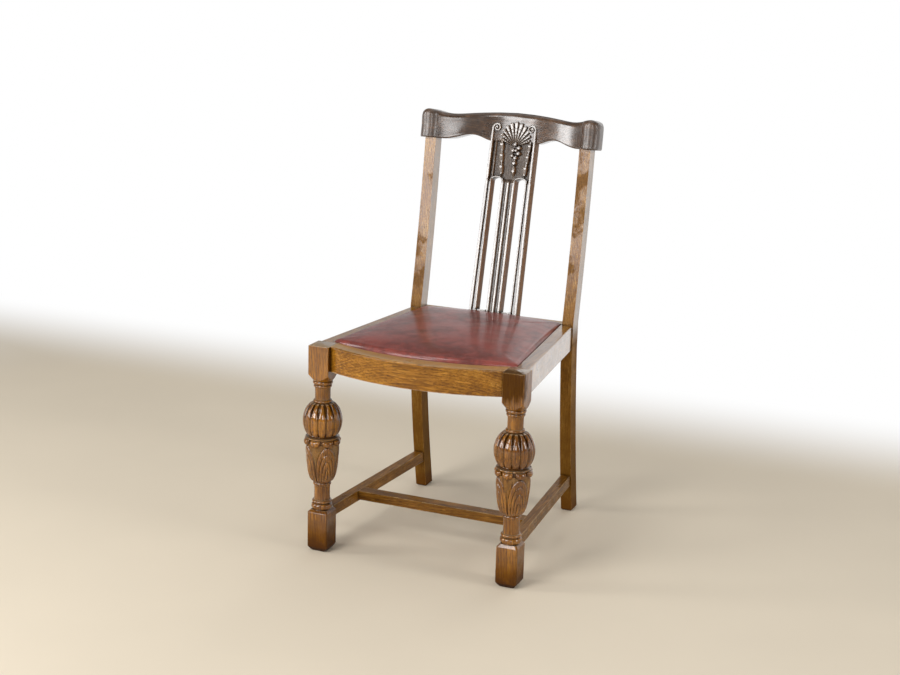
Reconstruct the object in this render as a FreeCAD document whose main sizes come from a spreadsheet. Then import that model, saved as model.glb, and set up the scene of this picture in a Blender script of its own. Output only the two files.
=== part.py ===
import FreeCAD, Part

import math
import os

import Sketcher

# A dining chair in oak with a drop-in leather seat.
# Lengths are millimetres, angles are degrees. X runs to the sitter's right as seen from the front,
# Y runs from front to back and Z is up. The origin is on the floor, below the middle of the box
# round the whole chair. Each body's own Y starts at the front faces of the front leg blocks,
# unless its function says otherwise.

SIZES = [
    ("seat_rail_top", 445.0, "floor to the top of the seat rails"),
    ("leg_spread", 422.0, "between the axes of the front legs"),
    ("post_line", 415.8, "front faces of the leg blocks to the front faces of the posts at the seat"),
    ("post_outer", 386.0, "over the outer faces of the posts"),
    ("cut_over", 6.0, "how far a cutting shape runs past the face it opens"),
    ("joint_gap", 0.1, "glue clearance round a tenon or dowel"),
    # Front legs
    ("block_side", 45.4, "side of the square block and foot"),
    ("block_height", 75.0, "square block at the seat rails"),
    ("block_shoulder", 15.0, "height of the turned cut below the block's corners"),
    ("block_ring_height", 8.0, "bead under the block"),
    ("block_ring_radius", 20.5, "bead under the block"),
    ("neck_radius", 16.2, "plain neck above the ball"),
    ("neck_ring_height", 6.0, "bead on the ball"),
    ("neck_ring_radius", 19.2, "bead on the ball"),
    ("ball_radius", 40.0, "over the flutes of the ball"),
    ("ball_upper", 34.0, "ball's middle to its upper bead"),
    ("ball_lower", 29.0, "ball's middle to the collar below it"),
    ("flute_radius", 8.4, "round of each flute on the ball"),
    ("valley_depth", 3.6, "depth of the valleys between the flutes, down to the core"),
    ("collar_height", 6.0, "hollow collar between ball and cup"),
    ("collar_radius", 27.0, "hollow collar between ball and cup"),
    ("cup_rim_height", 11.0, "rolled rim of the cup"),
    ("cup_rim_radius", 37.0, "rolled rim of the cup"),
    ("cup_height", 88.0, "cup below its rim"),
    ("cup_radius", 34.2, "cup just below its rim"),
    ("cup_waist_radius", 29.6, "cup where it starts to draw in"),
    ("cup_foot_radius", 17.5, "cup at its foot"),
    ("cup_ring_height", 6.0, "bead under the cup"),
    ("cup_ring_radius", 18.6, "bead under the cup"),
    ("ankle_height", 32.0, "plain neck under the cup"),
    ("ankle_radius", 16.9, "plain neck under the cup"),
    ("foot_ring_height", 7.0, "bead at the foot of the neck"),
    ("foot_ring_radius", 20.6, "bead at the foot of the neck"),
    ("foot_bead_height", 14.0, "torus on the square foot"),
    ("foot_bead_radius", 22.2, "torus on the square foot"),
    ("foot_height", 91.0, "square foot"),
    ("foot_shoulder", 8.0, "height of the turned cut above the foot's corners"),
    ("foot_chamfer", 6.0, "cut at the foot's lower edges"),
    # Back posts
    ("post_width", 25.2, "post, left to right"),
    ("post_foot_depth", 36.9, "post at the floor, front to back"),
    ("post_seat_depth", 35.3, "post at the seat, front to back"),
    ("post_top_depth", 33.8, "post under the crest, front to back"),
    ("post_foot_kick", 56.6, "how far the post's foot runs back"),
    ("post_top_kick", 60.8, "how far the post's top runs back"),
    ("post_rise", 376.6, "seat rails to the crest rail at the posts' front faces"),
    ("post_flat", 4.0, "upright stretch of the post past the rails, above and below"),
    ("post_chamfer", 3.0, "cut at the post's lower edges"),
    # Seat rails
    ("rail_height", 53.0, "all four seat rails"),
    ("front_bow", 27.3, "middle of the front rail ahead of the leg blocks"),
    ("front_set", 11.5, "ends of the front rail behind the leg blocks' front faces"),
    ("front_inner", 20.0, "middle of the front rail's inner face behind the blocks' front faces"),
    ("side_front_set", 6.3, "side rail's outer face inside the leg block's outer face"),
    ("side_back_set", 2.4, "side rail's outer face inside the post's outer face"),
    ("side_band", 26.0, "top of the side rail that shows beside the seat"),
    ("side_ledge", 9.0, "ledge of the side rail that the seat rests on"),
    ("rail_round", 2.5, "rounding of the rails' outer top edges"),
    ("rebate_depth", 18.0, "depth of the rebate that the seat drops into"),
    ("rail_tenon_height", 37.0, "tenons of the seat rails"),
    ("front_tenon", 21.0, "length of the front rail's tenons"),
    ("front_tenon_thick", 11.0, "thickness of the front rail's tenons"),
    ("front_tenon_set", 4.5, "front shoulder of the front rail's tenons"),
    ("side_tenon_front", 15.0, "length of the side rails' front tenons"),
    ("side_tenon_back", 16.0, "length of the side rails' back tenons"),
    ("side_tenon_thick", 10.0, "thickness of the side rails' tenons"),
    ("back_tenon", 14.0, "length of the back rail's tenons"),
    ("back_tenon_thick", 10.0, "thickness of the back rail's tenons"),
    ("back_tenon_set", 20.5, "front shoulder of the back rail's tenons"),
    # Crest rail, measured along and across its own lean
    ("crest_rake", 8.0, "lean of the crest rail"),
    ("crest_overhang", 15.0, "each end of the crest rail past the post's outer face"),
    ("crest_height", 69.0, "crest rail at its middle"),
    ("crest_ear_height", 64.0, "crest rail at the peak over each post"),
    ("crest_dip_height", 56.5, "crest rail at the dips in its top edge"),
    ("crest_end_height", 45.0, "flat of the crest's ends"),
    ("crest_ear", 9.0, "how far the ears stand ahead of the posts"),
    ("crest_end_set", 5.0, "front of the crest's end face behind the posts' front faces"),
    ("crest_hollow", 48.0, "depth of the front's hollow at the middle, from the posts' front faces"),
    ("crest_back", 80.0, "back of the crest at its middle, from the posts' front faces"),
    ("crest_end_depth", 37.0, "back of the crest at its ends, from the posts' front faces"),
    ("crest_arch", 15.0, "height of the arches in the crest's lower edge"),
    ("crest_tenon", 32.0, "length of the posts' tenons in the crest"),
    ("crest_tenon_shoulder", 5.0, "shoulder beside and behind the posts' tenons"),
    ("crest_tenon_front", 13.0, "front of the posts' tenons behind the posts' front faces"),
    # Splat, measured along and across its own lean
    ("splat_proud", 7.7, "splat ahead of the crest's hollow, at the crest's lower edge"),
    ("splat_setback", 10.7, "front of the splat behind the posts' front faces, at the rail"),
    ("splat_thick", 25.0, "thickness of the splat"),
    ("splat_head_rise", 39.6, "top of the carved head above the crest's lower edge"),
    ("splat_head_drop", 9.0, "middle of the head above its shoulders"),
    ("splat_foot_width", 114.0, "width at the rail"),
    ("splat_head_width", 103.0, "width at the head"),
    ("splat_corner", 12.0, "rounding of the head's corners"),
    ("slot_width", 23.6, "each of the two slots"),
    ("slot_foot", 10.0, "rail to the foot of the slots"),
    ("splat_head", 122.0, "top of the slots to the top of the carved head"),
    ("slot_arch", 8.0, "rise of the arch at the top of each slot"),
    ("mullion_width", 33.0, "bar between the slots"),
    ("bead_width", 6.0, "each bead along the bars"),
    ("groove_depth", 2.4, "grooves between the beads"),
    ("stile_groove", 5.0, "groove inside the outer bead of each stile"),
    ("splat_tenon", 24.0, "length of the splat's tenon"),
    ("splat_tenon_thick", 10.0, "thickness of the splat's tenon"),
    ("splat_tenon_shoulder", 10.0, "shoulder at each end of the splat's tenon"),
    ("housing_gap", 0.2, "clearance round the splat's head in the crest"),
    # Stretchers
    ("stretcher_top", 90.0, "floor to the top of the stretchers"),
    ("side_stretcher_height", 23.5, "side stretchers"),
    ("side_stretcher_thick", 21.0, "side stretchers"),
    ("stretcher_front_set", 15.7, "side stretcher's outer face inside the foot's outer face"),
    ("stretcher_back_set", 2.1, "side stretcher's outer face inside the post's outer face"),
    ("stretcher_tenon", 14.0, "length of the side stretchers' tenons"),
    ("stretcher_tenon_thick", 9.0, "thickness of the side stretchers' tenons"),
    ("stretcher_tenon_shoulder", 4.0, "shoulder above and below the stretchers' tenons"),
    ("cross_front", 151.0, "front faces of the leg blocks to the cross stretcher"),
    ("cross_depth", 28.0, "cross stretcher, front to back"),
    ("cross_height", 19.5, "cross stretcher"),
    ("cross_tenon", 11.0, "length of the cross stretcher's tenons"),
    ("cross_tenon_height", 9.0, "cross stretcher's tenons"),
    ("cross_tenon_shoulder", 5.0, "front and back shoulder of the cross stretcher's tenons"),
    # Corner blocks and their screws
    ("corner_block_height", 28.0, "corner blocks"),
    ("corner_block_drop", 3.0, "corner blocks below the ledge"),
    ("corner_front_reach", 66.0, "front corner blocks along the front rail"),
    ("corner_side_reach", 64.0, "corner blocks along the side rails"),
    ("corner_back_reach", 58.0, "back corner blocks along the back rail"),
    ("screw_radius", 2.0, "shank of the corner block screws"),
    ("screw_length", 38.0, "corner block screws"),
    ("screw_head_radius", 4.0, "corner block screws"),
    ("screw_head_height", 2.6, "corner block screws"),
    ("screw_slot", 1.0, "width of the slots in the screws' heads"),
    ("screw_gap", 0.1, "clearance round the screws' shanks"),
    ("counterbore_radius", 5.0, "counterbores for the screw heads"),
    ("screw_bed", 12.0, "wood of the block under each screw head"),
    # Drop-in seat
    ("seat_gap", 1.5, "gap round the seat in its rebate"),
    ("seat_corner_clear", 7.0, "front corners of the seat behind the leg blocks"),
    ("front_band", 36.0, "top of the front rail that shows ahead of the seat"),
    ("back_ledge", 9.0, "ledge of the back rail that the seat rests on"),
    ("leather_thick", 1.4, "leather"),
    ("leather_lip", 22.0, "leather turned under the seat frame"),
    ("seat_edge_rise", 8.0, "upper edge of the leather above the seat rails"),
    ("seat_crown", 20.0, "middle of the leather above the seat rails"),
    ("seat_front_crown", 11.0, "middle of the leather's front edge above the seat rails"),
    ("seat_back_crown", 13.0, "middle of the leather's back edge above the seat rails"),
    ("seat_member_thick", 18.0, "members of the seat frame"),
    ("seat_member_width", 45.0, "side and back members of the seat frame"),
    ("seat_front_member", 90.0, "inner edge of the front member behind the leg blocks' front faces"),
    ("dowel_radius", 4.0, "seat frame dowels"),
    ("dowel_length", 44.0, "seat frame dowels"),
    ("dowel_spacing", 20.0, "between the two dowels of a corner"),
    ("webbing_width", 50.0, "webbing"),
    ("webbing_thick", 1.6, "webbing"),
    ("webbing_margin", 9.0, "ends of the webbing inside the leather"),
    ("lengthwise_pitch", 74.0, "between the lengthwise straps"),
    ("crosswise_pitch", 80.0, "between the crosswise straps"),
    ("hessian_thick", 0.8, "hessian"),
    ("hessian_margin", 27.0, "edge of the hessian inside the leather"),
    ("tack_radius", 0.9, "shanks of the tacks"),
    ("tack_length", 6.0, "shanks of the tacks"),
    ("tack_head_radius", 3.2, "heads of the tacks"),
    ("tack_head_thick", 0.7, "heads of the tacks"),
    ("tack_inset", 15.5, "cover tacks inside the edge of the leather"),
    ("tack_pitch", 38.0, "between cover tacks"),
    ("webbing_tack_pitch", 15.0, "between the tacks at a strap's end"),
    ("webbing_tack_inset", 6.0, "tacks inside a strap's end"),
    ("cloth_thick", 0.8, "bottom cloth"),
]

# Sizes worked out from the ones above.
DERIVED = [
    ("leg_half", "leg_spread / 2"),
    ("block_half", "block_side / 2"),
    ("block_inner", "leg_half - block_half"),
    ("post_half", "post_outer / 2 - post_width / 2"),
    ("post_inner", "post_outer / 2 - post_width"),
    ("rail_bottom", "seat_rail_top - rail_height"),
    ("side_front_half", "leg_half + block_half - side_front_set"),
    ("side_back_half", "post_outer / 2 - side_back_set"),
    ("side_stretcher_front", "leg_half + block_half - stretcher_front_set"),
    ("side_stretcher_back", "post_outer / 2 - stretcher_back_set"),
    ("post_top", "seat_rail_top + post_rise"),
    ("crest_length", "post_outer + 2 * crest_overhang"),
    ("splat_rake", "atan((post_top_kick + crest_hollow - splat_proud - splat_setback) / post_rise)"
                   " / 1 deg"),
    ("splat_height", "(post_rise + splat_head_rise) / cos(splat_rake)"),
    ("slot_top", "splat_height - splat_head"),
    ("ledge_top", "seat_rail_top - rebate_depth"),
    ("crest_reach", "post_line + post_top_kick + crest_back * cos(crest_rake)"
                    " + crest_height * sin(crest_rake)"),
    ("front_y", "(front_bow - crest_reach) / 2"),
]

FLUTES = 14
LENGTHWISE_STRAPS = 4
CROSSWISE_STRAPS = 4
TACKS_PER_STRAP_END = 3

# Height of the cup's waist as a share of the cup.
CUP_WAIST_SHARE = 0.36
# Where the posts' curves pass between their ends, as shares of each curve's height and kick.
LOWER_HEIGHT_SHARE = 0.515
LOWER_KICK_SHARE = 0.357
UPPER_HEIGHT_SHARE = 0.566
UPPER_KICK_SHARE = 0.63
# Places along the crest's top and lower edges, as shares of its half length.
CREST_EAR_VIA_SHARE = 0.937
CREST_EAR_FOOT_SHARE = 0.846
CREST_DIP_SHARE = 0.68
CREST_SHOULDER_SHARE = 0.48
CREST_LOWER_END_SHARE = 0.72
CREST_LOWER_VIA_SHARE = 0.6
CREST_CUSP_SHARE = 0.471
CREST_INNER_VIA_SHARE = 0.38
CREST_INNER_SHARE = 0.28
# Heights on the upper edge, as shares of the rise out of its dips.
SHOULDER_RISE_SHARE = 0.33
EAR_FOOT_RISE_SHARE = 0.67
# Heights on the lower edge, as shares of its arches.
LOWER_VIA_HEIGHT_SHARE = 0.32
INNER_VIA_HEIGHT_SHARE = 0.8
INNER_HEIGHT_SHARE = 0.2
# Plan of an ear, as shares of the crest's half length and of the ear's and the posts' depths.
EAR_INNER_SHARE = 0.808
EAR_PEAK_SHARE = 0.913
EAR_FOOT_DEPTH_SHARE = 0.8
# Two places count as one when they are nearer than this.
NEAR_ENOUGH = 1e-4
# How far a rounded corner's middle lies inside the square corner, as a share of its radius.
CORNER_SHARE = 1 - math.sqrt(0.5)
# Places of the screws along the corner blocks, as shares of the blocks' reaches.
SCREW_FRONT_SHARE = 0.56
SCREW_SIDE_SHARE = 0.54
# Stations along the seat, and how much of the full crown each has, both as shares.
CROWN_SHARES = ((-0.02, 0.0), (0.2, 0.72), (0.5, 1.0), (0.8, 0.76), (1.02, 0.0))


class Measure:
    """A length or angle together with the spreadsheet expression that gives it."""

    def __init__(self, value, text):
        self.value = float(value)
        self.text = text

    def __float__(self):
        return self.value

    def __add__(self, other):
        return Measure(self.value + float(other), f"({self.text} + {text_of(other)})")

    def __radd__(self, other):
        return Measure(float(other) + self.value, f"({text_of(other)} + {self.text})")

    def __sub__(self, other):
        return Measure(self.value - float(other), f"({self.text} - {text_of(other)})")

    def __rsub__(self, other):
        return Measure(float(other) - self.value, f"({text_of(other)} - {self.text})")

    def __mul__(self, other):
        return Measure(self.value * float(other), f"({self.text} * {text_of(other)})")

    def __rmul__(self, other):
        return Measure(float(other) * self.value, f"({text_of(other)} * {self.text})")

    def __truediv__(self, other):
        return Measure(self.value / float(other), f"({self.text} / {text_of(other)})")

    def __neg__(self):
        return Measure(-self.value, f"(0 - {self.text})")


def text_of(value):
    return value.text if isinstance(value, Measure) else repr(float(value))


def cosine(angle):
    return Measure(math.cos(math.radians(float(angle))), f"cos({angle.text})")


def sine(angle):
    return Measure(math.sin(math.radians(float(angle))), f"sin({angle.text})")


def tangent(angle):
    return Measure(math.tan(math.radians(float(angle))), f"tan({angle.text})")


class SizeSheet:
    """The chair's spreadsheet; each alias reads as a Measure."""

    def __init__(self, document):
        self.sheet = document.addObject("Spreadsheet::Sheet", "sizes")
        row = 0
        for alias, value, note in SIZES:
            row += 1
            self.sheet.set(f"A{row}", note)
            self.sheet.set(f"B{row}", str(value))
            self.sheet.setAlias(f"B{row}", alias)
        for alias, formula in DERIVED:
            row += 1
            self.sheet.set(f"A{row}", alias.replace("_", " "))
            self.sheet.set(f"B{row}", f"={formula}")
            self.sheet.setAlias(f"B{row}", alias)
        document.recompute()

    def __getattr__(self, alias):
        return Measure(self.sheet.get(alias), f"sizes.{alias}")


doc = FreeCAD.newDocument("oak_chair")
size = SizeSheet(doc)
nodes = {}


def keep(name, thing):
    """Give a finished piece its name and put it on the list of pieces."""
    thing.Label = name
    nodes[name] = thing
    return thing


def bind(thing, path, value):
    """Tie a property to the spreadsheet."""
    if isinstance(value, Measure):
        thing.setExpression(path, value.text)


def vector(*values):
    return FreeCAD.Vector(*[float(value) for value in values])


def new_body(name, x=0.0, y=None, z=0.0, lean=None):
    """A body placed in the chair; lean tips its upper end back."""
    body = doc.addObject("PartDesign::Body", f"{name}_body")
    place = (x, size.front_y if y is None else size.front_y + y, z)
    body.Placement.Base = vector(*place)
    if lean is not None:
        body.Placement.Rotation = FreeCAD.Rotation(FreeCAD.Vector(-1, 0, 0), float(lean))
        bind(body, "Placement.Rotation.Angle", lean)
    for axis, value in zip("xyz", place):
        bind(body, f"Placement.Base.{axis}", value)
    return body


def origin_feature(body, role):
    return next(item for item in body.Origin.OriginFeatures if item.Role == role)


def hold(sketch, constraints, geometry, position, x, y):
    """Fix one point of a sketch at x, y from the sketch's origin."""
    for value, kind, axis in ((x, "DistanceX", -2), (y, "DistanceY", -1)):
        if not isinstance(value, Measure) and value == 0:
            constraints.append((Sketcher.Constraint("PointOnObject", geometry, position, axis), None))
        else:
            fixed = Sketcher.Constraint(kind, -1, 1, geometry, position, float(value))
            constraints.append((fixed, value))


def new_sketch(body, plane, name, lift=None):
    sketch = body.newObject("Sketcher::SketchObject", name)
    sketch.AttachmentSupport = [(origin_feature(body, plane), "")]
    sketch.MapMode = "FlatFace"
    if lift is not None:
        sketch.AttachmentOffset = FreeCAD.Placement(vector(0, 0, lift), FreeCAD.Rotation())
        bind(sketch, "AttachmentOffset.Base.z", lift)
    return sketch


def draw_outline(sketch, steps):
    """Draw a closed outline. A step is (x, y), or (x, y, via_x, via_y) for an arc that ends there."""
    constraints = []
    ends = []
    for number, step in enumerate(steps):
        before = steps[number - 1]
        start = vector(before[0], before[1], 0)
        end = vector(step[0], step[1], 0)
        if len(step) == 2:
            line = sketch.addGeometry(Part.LineSegment(start, end))
            ends.append((line, 1, 2))
            continue
        via = vector(step[2], step[3], 0)
        # A sketch keeps every arc turning to the left.
        leftward = (via - start).cross(end - start).z > 0
        arc = sketch.addGeometry(Part.Arc(start, via, end) if leftward else Part.Arc(end, via, start))
        ends.append((arc, 1, 2) if leftward else (arc, 2, 1))
        point = sketch.addGeometry(Part.Point(via), True)
        constraints.append((Sketcher.Constraint("PointOnObject", point, 1, arc), None))
        hold(sketch, constraints, point, 1, step[2], step[3])
    for number, (geometry, first, last) in enumerate(ends):
        following = ends[(number + 1) % len(ends)]
        joined = Sketcher.Constraint("Coincident", geometry, last, following[0], following[1])
        constraints.append((joined, None))
        hold(sketch, constraints, geometry, last, steps[number][0], steps[number][1])
    first_index = sketch.ConstraintCount
    sketch.addConstraint([constraint for constraint, value in constraints])
    for offset, (constraint, value) in enumerate(constraints):
        bind(sketch, f"Constraints[{first_index + offset}]", value if value is not None else 0.0)


def outline(body, plane, name, steps, lift=None):
    sketch = new_sketch(body, plane, name, lift)
    draw_outline(sketch, steps)
    return sketch


def pad(body, name, sketch, length, both_ways=False, backwards=False):
    feature = body.newObject("PartDesign::Pad", name)
    feature.Profile = sketch
    feature.Length = float(length)
    bind(feature, "Length", length)
    if both_ways:
        feature.SideType = "Symmetric"
    feature.Reversed = backwards
    return feature


def pocket(body, name, sketch, length, both_ways=False, backwards=False):
    """Cut a sketch into the body and make sure that it took wood away."""
    doc.recompute()
    before = body.Shape.Volume
    feature = body.newObject("PartDesign::Pocket", name)
    feature.Profile = sketch
    feature.Length = float(length)
    bind(feature, "Length", length)
    if both_ways:
        feature.SideType = "Symmetric"
    feature.Reversed = backwards
    doc.recompute()
    if body.Shape.Volume >= before:
        raise RuntimeError(f"{name} cuts nothing")
    return feature


def box_feature(body, name, kind, low, high):
    """Add or take away a box between two corners, in the body's own frame."""
    feature = body.newObject(f"PartDesign::{kind}Box", name)
    for side, first, last in zip(("Length", "Width", "Height"), low, high):
        setattr(feature, side, float(last) - float(first))
        bind(feature, side, last - first)
    feature.Placement.Base = vector(*low)
    for axis, value in zip("xyz", low):
        bind(feature, f"Placement.Base.{axis}", value)
    return feature


def tenon(body, name, low, high):
    return box_feature(body, name, "Additive", low, high)


def mortise(body, name, low, high):
    """A box cut larger than its tenon by the glue clearance."""
    gap = size.joint_gap
    return box_feature(body, name, "Subtractive", [v - gap for v in low], [v + gap for v in high])


def sided(side, near, far):
    """Lowest and highest X of a span given by its distances from the middle on one side."""
    return (near, far) if side > 0 else (-far, -near)


def round_edges(body, name, radius, wanted):
    """Round the edges of the body's latest shape that the test picks."""
    doc.recompute()
    tip = body.Tip
    names = [f"Edge{number}" for number, edge in enumerate(tip.Shape.Edges, 1) if wanted(edge)]
    if not names:
        raise RuntimeError(f"{name} finds no edge")
    feature = body.newObject("PartDesign::Fillet", name)
    feature.Base = (tip, names)
    feature.Radius = float(radius)
    bind(feature, "Radius", radius)
    return feature


def chamfer_edges(body, name, amount, wanted):
    doc.recompute()
    tip = body.Tip
    names = [f"Edge{number}" for number, edge in enumerate(tip.Shape.Edges, 1) if wanted(edge)]
    if not names:
        raise RuntimeError(f"{name} finds no edge")
    feature = body.newObject("PartDesign::Chamfer", name)
    feature.Base = (tip, names)
    feature.Size = float(amount)
    bind(feature, "Size", amount)
    return feature


def lies_at(edge, axis, value):
    """True where the whole edge has one coordinate at a value."""
    box = edge.BoundBox
    low = getattr(box, f"{axis}Min")
    high = getattr(box, f"{axis}Max")
    return abs(low - float(value)) < NEAR_ENOUGH and abs(high - float(value)) < NEAR_ENOUGH


def leg_levels():
    """Heights at which the turned elements of a front leg end, from the floor up."""
    steps = {"foot": "foot_height", "bead": "foot_bead_height", "ring": "foot_ring_height",
             "ankle": "ankle_height", "cup_ring": "cup_ring_height", "cup": "cup_height",
             "rim": "cup_rim_height", "collar": "collar_height", "ball_middle": "ball_lower",
             "ball_top": "ball_upper", "neck_ring": "neck_ring_height"}
    levels = {}
    total = 0.0
    for element, step in steps.items():
        total = getattr(size, step) + total
        levels[element] = total
    levels["block"] = size.seat_rail_top - size.block_height
    levels["neck"] = levels["block"] - size.block_ring_height
    return levels


def turned_profile():
    """Half section of the turned stretch, between the square foot and the square block."""
    (foot, bead, ring, ankle, cup_ring, cup, rim, collar, ball_middle, ball_top, neck_ring, block,
     neck) = leg_levels().values()
    core = size.ball_radius - size.valley_depth
    core_low = Measure(math.sqrt(float(core) ** 2 - float(size.ball_lower) ** 2),
                       f"sqrt({core.text} ^ 2 - {size.ball_lower.text} ^ 2)")
    steps = [(0.0, foot - size.cut_over), (size.ankle_radius, foot - size.cut_over),
             (size.ankle_radius, foot)]
    steps.append((size.ankle_radius, bead, size.foot_bead_radius, (foot + bead) / 2))
    steps.append((size.ankle_radius, ring, size.foot_ring_radius, (bead + ring) / 2))
    steps.append((size.ankle_radius, ankle))
    steps.append((size.cup_foot_radius, cup_ring, size.cup_ring_radius, (ankle + cup_ring) / 2))
    waist = cup_ring + (cup - cup_ring) * CUP_WAIST_SHARE
    steps.append((size.cup_radius, cup, size.cup_waist_radius, waist))
    steps.append((size.collar_radius, rim, size.cup_rim_radius, (cup + rim) / 2))
    steps.append((core_low, collar))
    steps.append((size.neck_radius, ball_top, core, ball_middle))
    steps.append((size.neck_radius, neck_ring, size.neck_ring_radius, (ball_top + neck_ring) / 2))
    steps.append((size.neck_radius, neck))
    steps.append((size.neck_radius, block, size.block_ring_radius, (neck + block) / 2))
    steps.append((size.neck_radius, block + size.cut_over))
    steps.append((0.0, block + size.cut_over))
    return steps


def turned_shoulder(body, name, level, reach, radius, upward):
    """Turn off the corners of a square block, down to a bead's radius."""
    corner = size.block_half * math.sqrt(2)
    far = corner + size.cut_over
    slope = reach * (far - radius) / (corner - radius)
    edge = level + slope if upward else level - slope
    sketch = outline(body, "XZ_Plane", f"{name}_profile", [(radius, level), (far, level), (far, edge)])
    groove = body.newObject("PartDesign::Groove", name)
    groove.Profile = sketch
    groove.ReferenceAxis = (origin_feature(body, "Z_Axis"), [""])
    groove.Angle = 360
    return groove


def front_leg(name, side):
    """Square block, turned and fluted middle, square foot. Its own origin is on its axis."""
    body = new_body(name, x=size.leg_half * side, y=size.block_half)
    half = size.block_half
    levels = leg_levels()
    foot = levels["foot"]
    block = levels["block"]
    ball_middle = levels["ball_middle"]
    profile = outline(body, "XZ_Plane", "turning", turned_profile())
    turning = body.newObject("PartDesign::Revolution", "turned_stretch")
    turning.Profile = profile
    turning.ReferenceAxis = (origin_feature(body, "Z_Axis"), [""])
    turning.Angle = 360
    square = [(half, half), (-half, half), (-half, -half), (half, -half)]
    pad(body, "block", outline(body, "XY_Plane", "block_plan", square, block), size.block_height)
    pad(body, "foot", outline(body, "XY_Plane", "foot_plan", square), foot)
    turned_shoulder(body, "block_turning", block, size.block_shoulder, size.block_ring_radius, True)
    turned_shoulder(body, "foot_turning", foot, size.foot_shoulder, size.foot_bead_radius, False)
    chamfer_edges(body, "foot_edges", size.foot_chamfer, lambda edge: lies_at(edge, "Z", 0))
    flute = body.newObject("PartDesign::AdditiveTorus", "flute")
    flute.Radius1 = float(size.ball_radius - size.flute_radius)
    flute.Radius2 = float(size.flute_radius)
    bind(flute, "Radius1", size.ball_radius - size.flute_radius)
    bind(flute, "Radius2", size.flute_radius)
    lower = math.degrees(math.asin(float(size.ball_lower) / float(size.ball_radius)))
    upper = math.degrees(math.asin(float(size.ball_upper) / float(size.ball_radius)))
    flute.Angle3 = lower + upper
    flute.Placement = FreeCAD.Placement(vector(0, 0, ball_middle), FreeCAD.Rotation(0, lower, 90))
    bind(flute, "Placement.Base.z", ball_middle)
    ring = body.newObject("PartDesign::PolarPattern", "flutes")
    ring.Originals = [flute]
    ring.Axis = (origin_feature(body, "Z_Axis"), [""])
    ring.Angle = 360
    ring.Occurrences = FLUTES
    body.Tip = ring
    low, high = tenon_heights()
    inner = sided(-side, half - size.front_tenon, half + size.cut_over)
    near = size.front_set + size.front_tenon_set - half
    mortise(body, "front_rail_mortise", (inner[0], near, low),
            (inner[1], near + size.front_tenon_thick, high))
    middle = (size.side_front_half - (size.side_band + size.side_ledge) / 2 - size.leg_half) * side
    thick = size.side_tenon_thick / 2
    mortise(body, "side_rail_mortise", (middle - thick, half - size.side_tenon_front, low),
            (middle + thick, half + size.cut_over, high))
    middle = (size.side_stretcher_front - size.side_stretcher_thick / 2 - size.leg_half) * side
    thick = size.stretcher_tenon_thick / 2
    low, high = stretcher_tenon_heights()
    mortise(body, "stretcher_mortise", (middle - thick, half - size.stretcher_tenon, low),
            (middle + thick, half + size.cut_over, high))
    return keep(name, body)


def tenon_heights():
    """Lowest and highest point of the seat rails' tenons."""
    shoulder = (size.rail_height - size.rail_tenon_height) / 2
    return size.rail_bottom + shoulder, size.seat_rail_top - shoulder


def stretcher_tenon_heights():
    shoulder = size.stretcher_tenon_shoulder
    return size.stretcher_top - size.side_stretcher_height + shoulder, size.stretcher_top - shoulder


def on_crest(y, z):
    """Side view point, from the posts' front faces, of a place along and across the crest's lean."""
    lean = size.crest_rake
    return (size.post_top_kick + y * cosine(lean) + z * sine(lean),
            size.post_top + z * cosine(lean) - y * sine(lean))


def post_front_at(height):
    """Y of the lower post's front face, from its face at the seat, at a height above the floor."""
    top = float(size.rail_bottom - size.post_flat)
    kick = float(size.post_foot_kick)
    curve = Part.Arc(vector(kick, 0, 0), vector(kick * LOWER_KICK_SHARE, top * LOWER_HEIGHT_SHARE, 0),
                     vector(0, top, 0)).toShape().Curve
    middle = curve.Center
    return middle.x - math.sqrt(curve.Radius ** 2 - (float(height) - middle.y) ** 2)


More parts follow.
